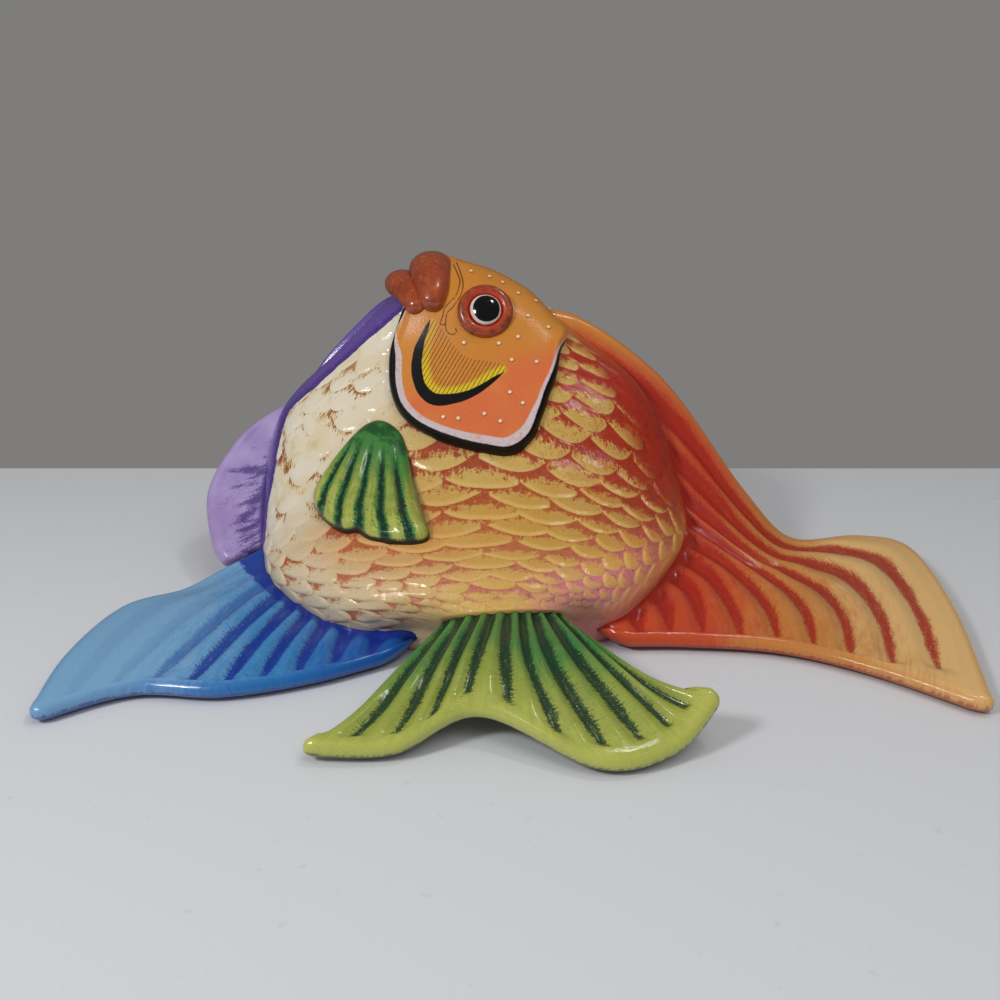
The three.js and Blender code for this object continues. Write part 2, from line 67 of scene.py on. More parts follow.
# The body's four rails, tail to snout, in millimetres.
BELLY_RAIL = (
    (-45, -42, 12), (-82, -40, 12), (-118, -4, 14), (-131, 42, 28),
    (-128, 80, 70), (-99, 96, 100), (-76, 104, 122), (-64, 108, 131),
)
CREST_RAIL = (
    (-14, -58, 28), (-20, -46, 38), (-24, -19, 44), (-25, 18, 56),
    (-28, 44, 82), (-34, 66, 106), (-44, 78, 126), (-56, 92, 136),
)
DORSAL_RAIL = (
    (14, -35, 12), (37, -31, 14), (68, 17, 22), (71, 50, 40),
    (54, 75, 84), (22, 90, 110), (-14, 101, 133), (-45, 108, 143),
)
REAR_RAIL = (
    (-10, -34, -25), (-16, -14, -25), (-24, 34, -25), (-28, 92, -25),
    (-34, 122, 15), (-38, 128, 60), (-44, 126, 108), (-54, 118, 137),
)
SECTION_POWER = 2.3
BODY_WALL = 6
HOLLOW = (0.17, 0.9)

# Lapped scales on the flank: the bow of a scale's edge and the width of its lip in rows, and how far the rows
# slant up at the back.
SCALE_BOW = 0.6
SCALE_LIP = 0.22
SCALE_SLANT = 0.2

# The gill cover's free edge, belly to nape: degrees round the body, place along it.
GILL_EDGE = (
    (124, 0.776), (122, 0.714), (118, 0.662), (113.5, 0.612), (108.5, 0.566), (102, 0.53), (93, 0.497),
    (84.5, 0.476), (78, 0.502), (73, 0.552), (66, 0.607), (50, 0.68), (31, 0.716), (-10, 0.77), (-45, 0.8),
)
BAND_START = ((117.5, 0.85), (121, 0.81))

# Where the flank's paint meets the violet strip: place along, degrees round the body.
VIOLET_LINE = (
    (0.3, 200), (0.355, 172), (0.374, 167), (0.44, 166), (0.49, 162), (0.534, 163), (0.584, 165),
    (0.632, 156.5), (0.686, 153.5), (0.748, 147), (0.824, 134), (0.88, 122), (1.0, 110),
)
COVER_PROUD = 4
EYE_PLACE = (69, 0.805)

# Marks on the cheek, in millimetres on the plane that touches the cover beside the eye.
CHEEK_PLACE = (90, 0.72)
CRESCENT_OUTER = (
    (-14.1, 14.1), (-16.5, 11.6), (-19.5, 6.6), (-22.5, 1.3), (-24, -5.2), (-24.4, -11.4), (-23.3, -17.7),
    (-21.5, -23.2), (-18.8, -27.3), (-15.6, -30.3), (-10.8, -31.8), (-5.7, -31.5), (0.8, -30.1),
    (7.9, -26.8), (14.5, -21.7), (20.9, -15.6),
)
CRESCENT_INNER = (
    (-14.1, 14.1), (-15.5, 9), (-17.6, 3.5), (-18.6, -2.3), (-19.2, -7.4), (-18.9, -12.7), (-17.8, -18.3),
    (-15.5, -22.3), (-12.4, -24.9), (-8.1, -25.7), (-3, -25.7), (3.7, -24.3), (10.4, -21.1),
    (15.9, -17.8), (20.9, -15.6),
)
HATCH_TOP = (
    (19.9, -11.6), (16, -10.4), (10.6, -9.2), (4.8, -8), (0.8, -5.5), (-2.5, -1.6), (-5.2, 2.6),
    (-7.1, 5.9), (-9.7, 10), (-13.4, 13.9),
)
NOSTRIL_LINES = (
    ((-2, 48.4), (0.4, 40.2), (2, 31.9), (1, 25.1), (-2.6, 19.4), (-5.9, 16.1), (-7, 11.5), (-6.6, 7.3),
     (-4.3, 5.4), (-2, 6.1), (-2.3, 8.4)),
    ((-3.2, 46.1), (-0.5, 37.5), (0.5, 32.8), (-1.2, 25.1), (-4.7, 21.3), (-7.2, 18.3), (-8.4, 14.4),
     (-9.7, 11.2), (-8, 10.5), (-7.2, 11.2)),
)
HEAD_DOTS = (
    (5.6, 40.9), (14.5, 37.7), (20.7, 34.5), (28.2, 28), (36.5, 25.3), (42.6, 24.4), (32.6, 14.2),
    (42, 8.5), (27.4, 2.6), (18.2, -0.6), (1.5, 0.8), (24, -9.7), (35.7, -11.2), (28.4, -33),
    (22.6, -27), (10.4, -37.5), (17.7, -41.7), (-1.8, -39.1), (-8.8, -37.9),
)

# Fins: rays of points in the middle of the thickness, root to free edge.
DORSAL_RAYS = (
    ((2, 98, 122), (25, 98, 116), (55, 89, 97), (75, 79, 77), (105, 57, 36), (130, 52, 12), (170, 65, 8),
     (190, 50, 8), (184, -16, 7), (166, -95, 4)),
    ((50, 66, 64), (101, 28, 19), (124, 18, 10), (137, 4, 8), (139, -26, 7), (131, -64, 4)),
    ((54, 40, 28), (78, 19, 20), (92, 2, 14), (100, -22, 9), (99, -47, 4)),
    ((42, 8, 15), (61, -14, 12), (62, -42, 4)),
    ((18, -28, 8), (27, -36, 7), (33, -42, 4)),
)
ANAL_RAYS = (
    ((-40, -30, 8), (-51, -42, 7), (-57, -53, 4)),
    ((-80, -20, 9), (-86, -50, 8), (-89, -71, 4)),
    ((-98, -2, 12), (-112, -46, 10), (-122, -81, 4)),
    ((-110, 14, 16), (-134, -24, 13), (-146, -52, 9), (-157, -80, 4)),
    ((-114, 26, 26), (-142, 10, 15), (-160, -4, 9), (-182, -18, 8), (-190, -58, 7), (-188, -100, 4)),
)
PELVIC_RAYS = (
    ((-118, 36, 20), (-144, 16, 13)),
    ((-118, 48, 28), (-153, 27, 21)),
    ((-118, 70, 44), (-162, 60, 36)),
    ((-116, 84, 62), (-149, 80, 58)),
    ((-108, 92, 80), (-125, 92, 71)),
    ((-88, 102, 104), (-104, 101, 97)),
    ((-64, 110, 126), (-76, 110, 125)),
)
TAIL_RAYS = (
    ((5, -40, 15), (28, -79, 16), (46, -96, 17), (64, -105, 20)),
    ((2, -44, 20), (20, -84, 18), (34, -104, 12), (45, -120, 6)),
    ((-6, -46, 23), (-1, -88, 20), (8, -110, 12), (17, -127, 4)),
    ((-15, -46, 24), (-20, -84, 22), (-22, -100, 17), (-23, -107, 11)),
    ((-26, -46, 22), (-38, -88, 19), (-46, -107, 10), (-53, -119, 4)),
    ((-35, -40, 15), (-56, -84, 13), (-72, -106, 8), (-88, -120, 5)),
)
PECTORAL_ROOT = ((107, 0.526), (122.5, 0.546))
PECTORAL_TIP = ((98.5, 0.262), (138.5, 0.415))
DORSAL_RIBS, ANAL_RIBS, PELVIC_RIBS, TAIL_RIBS, PECTORAL_RIBS = 10, 10, 6, 11, 6

# Lips: points along each roll with the roll's radius.
UPPER_LIP = (
    (-48, 71, 124, 4.5), (-46, 81, 133, 7), (-47, 100, 140, 9), (-48, 117, 137, 7), (-50, 125, 130, 4.5),
)
LOWER_LIP = (
    (-55, 73, 123, 4.5), (-60, 83, 129, 5.5), (-66, 100, 133, 7), (-63, 117, 130, 5.5), (-57, 125, 125, 4.5),
)


def paint(hex_colour):
    """A paint's colour as the shader takes it, from its usual hex number."""
    parts = [(hex_colour >> shift & 255) / 255 for shift in (16, 8, 0)]
    return tuple(p / 12.92 if p <= 0.04045 else ((p + 0.055) / 1.055) ** 2.4 for p in parts)


# Second paints, which the brush works into the main ones.
STRAW = paint(0xD2B66C)
UMBER = paint(0x8A6A34)
# Pale gold for the painted highlight on the scales' free edges.
HIGHLIGHT_GOLD = paint(0xE8CA78)
OLD_VARNISH = paint(0xC8B060)
MUSTARD = paint(0xCDA848)
OXBLOOD = paint(0x54180F)
CLAY = paint(0xBCA484)
DARK_CLAY = paint(0x9C8062)
APRICOT = paint(0xDE9C48)
RUSSET = paint(0xA8561C)
SEPIA = paint(0x3A2C18)
# Brown for the painted shade round the feet of the head dots.
FOOT_SHADE_BROWN = paint(0x9A5418)
COPPER = paint(0xBE6430)
TERRACOTTA = paint(0xC0622E)
VERMILION = paint(0xC0381E)
CINNABAR = paint(0xB8381E)
LILAC = paint(0xB09CCC)
BOTTLE_GREEN = paint(0x14481E)
GREEN_BLACK = paint(0x081008)
PALE_WOOD = paint(0xC8A872)
WOOD_GRAIN = paint(0x9A7444)
STEEL = paint(0xB6B6B2)
DULL_STEEL = paint(0x8E8E8C)
SPECK_GREY = paint(0x8A8A8C)

# Paint zones of the body: degrees, place along, raised paint, recess paint, and the share of a scale's
# visible length that is raised.
BODY_PATCHES = {
    "back, high": (40, 0.62, 0xC6A04A, 0xAE2A12, 0.62),
    "gill corner": (60, 0.46, 0xD0AC56, 0xAC3418, 0.78),
    "back, middle": (38, 0.48, 0xC29244, 0xA6240E, 0.52),
    "back, low": (46, 0.385, 0xBC7030, 0xA82A10, 0.46),
    "red edge, low": (29, 0.42, 0xA43414, 0xA0240C, 0.28),
    "red edge, middle": (12, 0.48, 0xA82412, 0xA01E0C, 0.2),
    "red edge, high": (10, 0.63, 0xB03214, 0xA8260E, 0.25),
    "nape": (0, 0.74, 0xC8782E, 0xC8782E, 0.9),
    "back by the fin": (14, 0.32, 0xDA962C, 0xCA6E2C, 1.0),
    "gold side": (70, 0.32, 0xD0A048, 0xC4703A, 1.02),
    "rose back": (30, 0.16, 0xEAB24E, 0xE68888, 0.8),
    "rose edge": (6, 0.14, 0xE2908A, 0xE08498, 0.7),
    "over the tail": (90, 0.12, 0xD6A858, 0xC87A60, 1.0),
    "tail root, belly side": (118, 0.03, 0xE0B460, 0xD88060, 0.95),
    "tail root, back side": (45, 0.02, 0xE49A80, 0xDC8090, 0.75),
    "side under the gill": (98, 0.48, 0xD0AE62, 0xAC4C30, 0.95),
    "side under the small fin": (114, 0.3, 0xDA9850, 0xC66A3C, 0.98),
    "belly, low": (125, 0.14, 0xD6B88A, 0xC47A5A, 1.08),
    "belly by the blue fin": (145, 0.24, 0xD6C8AA, 0xB86440, 1.25),
    "cream belly, low": (150, 0.45, 0xE2D9C6, 0x9A5834, 1.6),
    "cream belly, high": (132, 0.62, 0xE4D9C2, 0xA2643C, 1.6),
    "throat": (140, 0.8, 0xE6DCC6, 0xC0A078, 2.2),
    "violet side": (205, 0.5, 0x6A4EA2, 0x6A4EA2, 2.2),
    "violet chin": (205, 0.8, 0x6A4EA2, 0x6A4EA2, 2.2),
    "rear, violet": (245, 0.5, 0x8A6AA4, 0x6A4EA2, 2.2),
    "rear, violet to orange": (245, 0.75, 0xA87C7C, 0x8A5A60, 2.2),
    "rear, middle": (285, 0.5, 0xB87A62, 0xB0603A, 2.2),
    "rear of the head": (290, 0.85, 0xC8803A, 0xC06A30, 2.2),
    "rear, red": (325, 0.5, 0xAA4A2A, 0xA23E24, 2.2),
    "rear of the nape": (325, 0.8, 0xC87E34, 0xC87E34, 2.2),
}
# How far a zone spreads, in degrees and along the body.
PATCH_DEGREES, PATCH_ALONG = 22, 0.11


def curve_through(points, place):
    """Smooth curve through points (first axis), at places from 0 to 1."""
    points = np.asarray(points, float)
    padded = np.concatenate([2 * points[:1] - points[1:2], points, 2 * points[-1:] - points[-2:-1]])
    step = np.clip(np.asarray(place, float), 0, 1) * (len(points) - 1)
    first = np.minimum(step.astype(int), len(points) - 2)
    w = (step - first)[..., None]
    if padded.ndim == 2:
        a, b, c, d = (padded[first + k] for k in range(4))
    else:
        pick = np.broadcast_to(first[None, ..., None], (1, *padded.shape[1:]))
        a, b, c, d = (np.take_along_axis(padded, pick + k, 0)[0] for k in range(4))
    return b + w / 2 * (c - a + w * (2 * a - 5 * b + 4 * c - d + w * (3 * (b - c) + d - a)))


def unit(vectors):
    """Vectors of length one."""
    return vectors / np.maximum(np.linalg.norm(vectors, axis=-1, keepdims=True), 1e-12)


def smooth(low, high, value):
    """0 up to low, 1 from high on and a smooth ramp between; with low above high it falls."""
    x = np.clip((np.asarray(value, float) - low) / (high - low), 0, 1)
    return x * x * (3 - 2 * x)


def bell(value, middle, width):
    """A bell-shaped bump, 1 at its middle."""
    return np.exp(-((value - middle) / width) ** 2)


def rounded(distance, radius):
    """Height of a rounded edge, 0 to 1, at a distance in from it."""
    inward = np.clip(np.asarray(distance, float) / radius, 0, 1)
    return np.sqrt(1 - (1 - inward) ** 2)


def skin(degrees, along):
    """Point on the body: degrees from the dorsal edge over the flank to the belly and round the rear."""
    degrees, along = np.broadcast_arrays(np.asarray(degrees, float), np.asarray(along, float))
    belly, crest, dorsal, rear = (
        curve_through(rail, along) for rail in (BELLY_RAIL, CREST_RAIL, DORSAL_RAIL, REAR_RAIL))
    centre = (belly + dorsal) / 2
    angle = np.radians(degrees)
    side, up = (
        (np.sign(v) * np.abs(v) ** (2 / SECTION_POWER))[..., None] for v in (np.cos(angle), np.sin(angle)))
    return centre + (dorsal - centre) * side + np.where(up >= 0, crest - centre, centre - rear) * up


def skin_normal(degrees, along):
    """Outward direction of the body at a place."""
    turn, step = 2, 0.01
    degrees, along = np.broadcast_arrays(np.asarray(degrees, float), np.asarray(along, float))
    around = skin(degrees + turn, along) - skin(degrees - turn, along)
    forward = skin(degrees, np.clip(along + step, 0, 1)) - skin(degrees, np.clip(along - step, 0, 1))
    return unit(np.cross(forward, around))


def proud(degrees, along, height):
    """Point standing off the body by a height."""
    return skin(degrees, along) + skin_normal(degrees, along) * np.asarray(height, float)[..., None]


def cheek_frame():
    """Origin and the right, up and outward directions of the plane that touches the cheek."""
    degrees, along = CHEEK_PLACE
    outward = skin_normal(degrees, along)
    right = skin(degrees - 2, along) - skin(degrees + 2, along)
    right = unit(right - outward * (right @ outward))
    return proud(degrees, along, COVER_PROUD), right, np.cross(outward, right), outward


def run_length(points):
    """How far along a line each of its points lies."""
    return np.concatenate([[0], np.cumsum(np.linalg.norm(np.diff(points, axis=0), axis=1))])


def polyline(points, count):
    """Evenly spaced points along a smooth curve through a few points."""
    dense = curve_through(points, np.linspace(0, 1, 40 * len(points)))
    length = run_length(dense)
    wanted = np.linspace(0, length[-1], count)
    return np.stack([np.interp(wanted, length, dense[:, k]) for k in range(dense.shape[1])], -1)


def distance_to(points, line):
    """Distance from each point to a dense line, and how far along the line that is, 0 to 1."""
    best = np.full(points.shape[:-1], np.inf)
    where = np.zeros(points.shape[:-1])
    for k in range(len(line) - 1):
        a, along = line[k], line[k + 1] - line[k]
        t = np.clip((points - a) @ along / max(along @ along, 1e-12), 0, 1)
        gap = np.linalg.norm(points - a - t[..., None] * along, axis=-1)
        nearer = gap < best
        best = np.where(nearer, gap, best)
        where = np.where(nearer, (k + t) / (len(line) - 1), where)
    return best, where


def inside_polygon(points, polygon):
    """True for the points inside a closed outline."""
    x, y = points[..., 0], points[..., 1]
    inside = np.zeros(x.shape, bool)
    for (x0, y0), (x1, y1) in zip(polygon, np.roll(polygon, -1, axis=0)):
        if y0 != y1:
            inside ^= ((y0 > y) != (y1 > y)) & (x < (x1 - x0) * (y - y0) / (y1 - y0) + x0)
    return inside


def signed_distance(points, polygon):
    """Distance to a closed outline, negative inside it."""
    closed = np.vstack([polygon, polygon[:1]])
    return distance_to(points, closed)[0] * np.where(inside_polygon(points, polygon), -1, 1)


def grid_faces(rows, columns, closed=False, start=0, flip=False):
    """Quads of a grid of points; closed joins the last column to the first."""
    faces = []
    for r in range(rows - 1):
        for c in range(columns if closed else columns - 1):
            n = (c + 1) % columns
            quad = (r * columns + c, r * columns + n, (r + 1) * columns + n, (r + 1) * columns + c)
            faces.append(tuple(start + v for v in (quad[::-1] if flip else quad)))
    return faces


def tube_faces(rows, columns):
    """Quads of a closed tube, with one flat face on each end."""
    last = (rows - 1) * columns
    ends = [tuple(range(columns))[::-1], tuple(last + k for k in range(columns))]
    return grid_faces(rows, columns, closed=True) + ends


def fanned_tube(points, columns, flip=False):
    """Points and faces of a closed tube, with a fan of faces round a middle point on each end."""
    count = len(points)
    last = count - columns
    ring = [(c, (c + 1) % columns) for c in range(columns)]
    fans = [(count, n, c) for c, n in ring] + [(count + 1, last + c, last + n) for c, n in ring]
    faces = grid_faces(count // columns, columns, closed=True, flip=flip)
    faces += [fan[::-1] if flip else fan for fan in fans]
    return np.vstack([points, points[:columns].mean(0), points[last:].mean(0)]), faces


def mesh_object(name, points, faces, attributes=None, clip=True):
    """A piece from points in millimetres, kept in the object's box, with values stored on the points."""
    mesh = bpy.data.meshes.new(name)
    points = np.asarray(points).reshape(-1, 3) * MM
    if clip:
        points = np.clip(points, np.array(CAD_LOW), np.array(CAD_HIGH))
    mesh.from_pydata(points, [], faces)
    for key, values in (attributes or {}).items():
        values = np.asarray(values, np.float32)
        if values.ndim == 1:
            mesh.attributes.new(key, "FLOAT", "POINT").data.foreach_set("value", values)
        else:
            rgba = np.concatenate([values, np.ones((len(values), 1), np.float32)], 1)
            mesh.attributes.new(key, "FLOAT_COLOR", "POINT").data.foreach_set("color", rgba.ravel())
    obj = bpy.data.objects.new(name, mesh)
    bpy.context.scene.collection.objects.link(obj)
    return obj


def close_up(obj, merge=1e-6):
    """Merges doubled points, turns faces outwards and shades the piece smooth."""
    bm = bmesh.new()
    bm.from_mesh(obj.data)
    bmesh.ops.remove_doubles(bm, verts=bm.verts, dist=merge)
    bmesh.ops.recalc_face_normals(bm, faces=bm.faces)
    bm.to_mesh(obj.data)
    bm.free()
    obj.data.polygons.foreach_set("use_smooth", [True] * len(obj.data.polygons))
    return obj


def slab_object(name, upper, lower, attributes):
    """A closed piece between an upper and a lower grid of points; side is 1 above and 0 below."""
    rows, columns = upper.shape[:2]
    count = rows * columns
    faces = grid_faces(rows, columns) + grid_faces(rows, columns, start=count, flip=True)
    rim = [(0, c) for c in range(columns)] + [(r, columns - 1) for r in range(1, rows)]
    rim += [(rows - 1, c) for c in range(columns - 2, -1, -1)] + [(r, 0) for r in range(rows - 2, 0, -1)]
    index = [r * columns + c for r, c in rim]
    for a, b in zip(index, index[1:] + index[:1]):
        faces.append((b, a, a + count, b + count))
    doubled = {key: np.concatenate([v.reshape(count, *v.shape[2:])] * 2) for key, v in attributes.items()}
    doubled["side"] = np.repeat([1.0, 0.0], count)
    points = np.concatenate([upper.reshape(-1, 3), lower.reshape(-1, 3)])
    return close_up(mesh_object(name, points, faces, doubled))


class Value:
    """What a node gives out; plus, minus and times make the node that works it out."""

    def __init__(self, wiring, socket):
        self.wiring = wiring
        self.socket = socket

    def __add__(self, other):
        return self.wiring.math("ADD", self, other)

    def __sub__(self, other):
        return self.wiring.math("SUBTRACT", self, other)

    def __rsub__(self, other):
        return self.wiring.math("SUBTRACT", other, self)

    def __mul__(self, other):
        return self.wiring.math("MULTIPLY", self, other)


class Wiring:
    """Short calls for building one node tree."""

    def __init__(self, tree):
        self.tree = tree

    def node(self, kind, inputs=None, **settings):
        made = self.tree.nodes.new(kind)
        for key, value in settings.items():
            setattr(made, key, value)
        for key, value in (inputs or {}).items():
            self.put(made.inputs[key], value)
        return made

    def out(self, kind, inputs=None, output=0, **settings):
        """A new node's output as a value."""
        return Value(self, self.node(kind, inputs, **settings).outputs[output])

    def put(self, socket, value):
        """Links a value to a socket, or sets the socket to a number, colour or data-block."""
        if isinstance(value, Value):
            self.tree.links.new(value.socket, socket)
        elif socket.type == "RGBA" and len(value) == 3:
            socket.default_value = (*value, 1)
        else:
            socket.default_value = value

    def math(self, operation, *values):
        return self.out("ShaderNodeMath", dict(enumerate(values)), operation=operation)

    def ramp(self, value, low, high, start=0.0, end=1.0):
        """Smooth ramp from start to end as the value goes from low to high, or down from low to high."""
        inputs = {0: value, 1: low, 2: high, 3: start, 4: end}
        return self.out("ShaderNodeMapRange", inputs, interpolation_type="SMOOTHSTEP")

    def mix(self, share, a, b):
        """Colour a, going to colour b as share goes to 1."""
        return self.out("ShaderNodeMix", {0: share, 6: a, 7: b}, 2, data_type="RGBA")

    def vector(self, x, y, z):
        return self.out("ShaderNodeCombineXYZ", {0: x, 1: y, 2: z})

    def split(self, vector):
        """The x, y and z of a vector."""
        return [Value(self, part) for part in self.node("ShaderNodeSeparateXYZ", {0: vector}).outputs]

    def ridges(self, across, count):
        """Rounded waves across a fin, 0 in the grooves and 1 on the ribs."""
        return self.math("ABSOLUTE", self.math("SINE", across * count))


class Paintwork(Wiring):
    """A varnished paint material under construction."""

    def __init__(self, name, roughness, varnish, gloss=0.1, specular=0.5):
        self.material = bpy.data.materials.new(name)
        self.material.use_nodes = True
        super().__init__(self.material.node_tree)
        self.shader = self.tree.nodes["Principled BSDF"]
        self.shader.inputs["Roughness"].default_value = roughness
        self.shader.inputs["Coat Weight"].default_value = varnish
        self.shader.inputs["Coat Roughness"].default_value = gloss
        self.shader.inputs["Specular IOR Level"].default_value = specular
        self.place = self.out("ShaderNodeTexCoord", output="Object")

    def value(self, name):
        return self.out("ShaderNodeAttribute", output="Fac", attribute_name=name)

    def colour(self, name):
        return self.out("ShaderNodeAttribute", output="Color", attribute_name=name)

    def noise(self, scale, detail=2.0, where=None, roughness=0.5):
        inputs = {"Vector": where or self.place, "Scale": scale, "Detail": detail, "Roughness": roughness}
        return self.out("ShaderNodeTexNoise", inputs, "Fac")

    def centred(self, noise, size=1.0):
        return (noise - 0.5) * size

    def finish(self, colour, height=None, strength=0.3, distance=0.0004):
        self.put(self.shader.inputs["Base Color"], colour)
        if height is not None:
            bump = self.out("ShaderNodeBump", {"Height": height, "Strength": strength, "Distance": distance})
            self.put(self.shader.inputs["Normal"], bump)
            self.put(self.shader.inputs["Coat Normal"], bump)
        return self.material


def node_group(name, inputs):
    """A new geometry tree, its wiring and its inputs: the geometry and some named ones."""
    tree = bpy.data.node_groups.new(name, "GeometryNodeTree")
    tree.interface.new_socket("Geometry", in_out="INPUT", socket_type="NodeSocketGeometry")
    for label, kind in inputs:
        tree.interface.new_socket(label, in_out="INPUT", socket_type=kind)
    tree.interface.new_socket("Geometry", in_out="OUTPUT", socket_type="NodeSocketGeometry")
    wiring = Wiring(tree)
    given = {output.name: Value(wiring, output) for output in wiring.node("NodeGroupInput").outputs}
    return tree, wiring, given


def end_group(wiring, geometry, material):
    """Ends a tree in Realize Instances and Set Material."""
    realised = wiring.out("GeometryNodeRealizeInstances", {"Geometry": geometry})
    painted = wiring.out("GeometryNodeSetMaterial", {"Geometry": realised, "Material": material})
    wiring.node("NodeGroupOutput", {0: painted})


def press_in(wiring, given, depth):
    """Sinks every point by a depth along its normal and ends the tree."""
    normal = wiring.out("GeometryNodeInputNormal")
    push = wiring.out("ShaderNodeVectorMath", {0: normal, "Scale": depth * -1.0}, operation="SCALE")
    moved = wiring.out("GeometryNodeSetPosition", {"Geometry": given["Geometry"], "Offset": push})
    end_group(wiring, moved, given["Paint"])


def run_group(obj, tree, values):
    """Runs a geometry tree on an object and keeps the result as a plain mesh."""
    modifier = obj.modifiers.new(tree.name, "NODES")
    modifier.node_group = tree
    sockets = {s.name: s.identifier for s in tree.interface.items_tree if s.in_out == "INPUT"}
    for label, value in values.items():
        modifier[sockets[label]] = value
    obj.update_tag()
    graph = bpy.context.evaluated_depsgraph_get()
    graph.update()
    made = bpy.data.meshes.new_from_object(
        obj.evaluated_get(graph), preserve_all_data_layers=True, depsgraph=graph)
    obj.modifiers.clear()
    old = obj.data
    made.name = obj.name
    obj.data = made
    bpy.data.meshes.remove(old)
    made.polygons.foreach_set("use_smooth", [True] * len(made.polygons))
    return obj


def read_value(wiring, name):
    """A value stored on the points, inside a geometry tree."""
    return wiring.out("GeometryNodeInputNamedAttribute", {"Name": name}, data_type="FLOAT")


def scale_pattern(wiring, row, column):
    """Lapped scales: rows up from the free edge, the square of the way from the middle, and a chance."""
    def scale(edge_row):
        stagger = wiring.math("FLOORED_MODULO", edge_row, 2) * 0.5
        middle = wiring.math("ROUND", column - stagger)
        seat = wiring.vector(middle, edge_row, 0.0)
        random = wiring.out("ShaderNodeTexWhiteNoise", {"Vector": seat}, "Color", noise_dimensions="3D")
        aside, down, chance = wiring.split(random)
        shift = (aside - 0.5) * 0.2
        drop = (down - 0.5) * 0.22
        across = column - stagger - (middle + shift)
        square = across * across
        rise = row - (edge_row + drop + square * (4 * SCALE_BOW))
        return rise, square, chance

    top_row = wiring.math("FLOOR", row + 0.11)
    above = scale(top_row)
    below = scale(top_row - 1.0)
    on_top = wiring.math("GREATER_THAN", above[0], 0.0)
    beneath = 1.0 - on_top
    return [a * on_top + b * beneath for a, b in zip(above, below)]


def scale_tree():
    """Geometry tree that presses the lapped scales into the flank."""
    tree, w, given = node_group("Flank scales", (
        ("Depth", "NodeSocketFloat"), ("Lip", "NodeSocketFloat"), ("Paint", "NodeSocketMaterial")))
    rise, square, _ = scale_pattern(w, read_value(w, "scale_row"), read_value(w, "scale_column"))
    lip = w.ramp(rise, -0.04, given["Lip"])
    slope = w.ramp(rise, 1.5, 0.1)
    pad = 1.0 - square * 1.6
    sunk = 1.0 - lip * slope * pad
    press_in(w, given, sunk * read_value(w, "scaled") * given["Depth"])
    return tree


def rib_tree():
    """Geometry tree that presses the grooves between a fin's ribs into its upper face."""
    tree, w, given = node_group("Fin ribs", (
        ("Ribs", "NodeSocketFloat"), ("Depth", "NodeSocketFloat"), ("Paint", "NodeSocketMaterial")))
    across, rim, root, side = (read_value(w, key) for key in ("across", "rim", "root", "side"))
    wave = w.ridges(across, given["Ribs"] * math.pi)
    hollow = 1.0 - wave * wave
    window = w.ramp(rim, 0.85, 1.45) * w.ramp(root, 0.0, 6.0)
    press_in(w, given, hollow * window * read_value(w, "grooved") * side * given["Depth"])
    return tree


def dot_tree():
    """Geometry tree that sets a small domed dot on every point, square to the surface."""
    tree, w, given = node_group("Head dots", (
        ("Radius", "NodeSocketFloat"), ("Height", "NodeSocketFloat"), ("Paint", "NodeSocketMaterial")))
    ball = w.out("GeometryNodeMeshUVSphere", {"Segments": 20, "Rings": 12, "Radius": 1.0})
    height = w.split(w.out("GeometryNodeInputPosition"))[2]
    dome = w.out("GeometryNodeStoreNamedAttribute", {
        "Geometry": ball, "Name": "dome", "Value": height}, data_type="FLOAT", domain="POINT")
    outward = w.out("GeometryNodeInputNamedAttribute", {"Name": "outward"}, data_type="FLOAT_VECTOR")
    turn = w.out("FunctionNodeAlignRotationToVector", {"Vector": outward}, axis="Z")
    size = w.vector(given["Radius"], given["Radius"], given["Height"])
    points = w.out("GeometryNodeMeshToPoints", {"Mesh": given["Geometry"]})
    placed = w.out("GeometryNodeInstanceOnPoints", {
        "Points": points, "Instance": dome, "Rotation": turn, "Scale": size})
    end_group(w, placed, given["Paint"])
    return tree


def colour_property(name, description, hex_colour):
    """A colour that a user would change."""
    return FloatVectorProperty(
        name=name, description=description, subtype="COLOR", size=3, min=0, max=1, default=paint(hex_colour))


def length_property(name, description, millimetres):
    """A length that a user would change."""
    return FloatProperty(
        name=name, description=description, subtype="DISTANCE", unit="LENGTH", min=0, precision=4,
        default=millimetres * MM)


class FishSizes(bpy.types.PropertyGroup):
    """Sizes of the modelled detail."""

    scale_rows: IntProperty(
        name="Scale rows", description="Rows of scales from tail to snout", default=24, min=4)
    scale_columns: IntProperty(
        name="Scale columns", description="Scales from the back edge to the belly edge", default=12, min=4)
    scale_depth: length_property("Scale depth", "Depth of the step at a scale's free edge", 1.1)
    rib_depth: length_property("Groove depth", "Depth of the grooves between fin ribs", 2.2)
    dot_radius: length_property("Dot radius", "Radius of the raised dots on the head", 1.15)
    dot_height: length_property("Dot height", "Height of the raised dots on the head", 0.9)


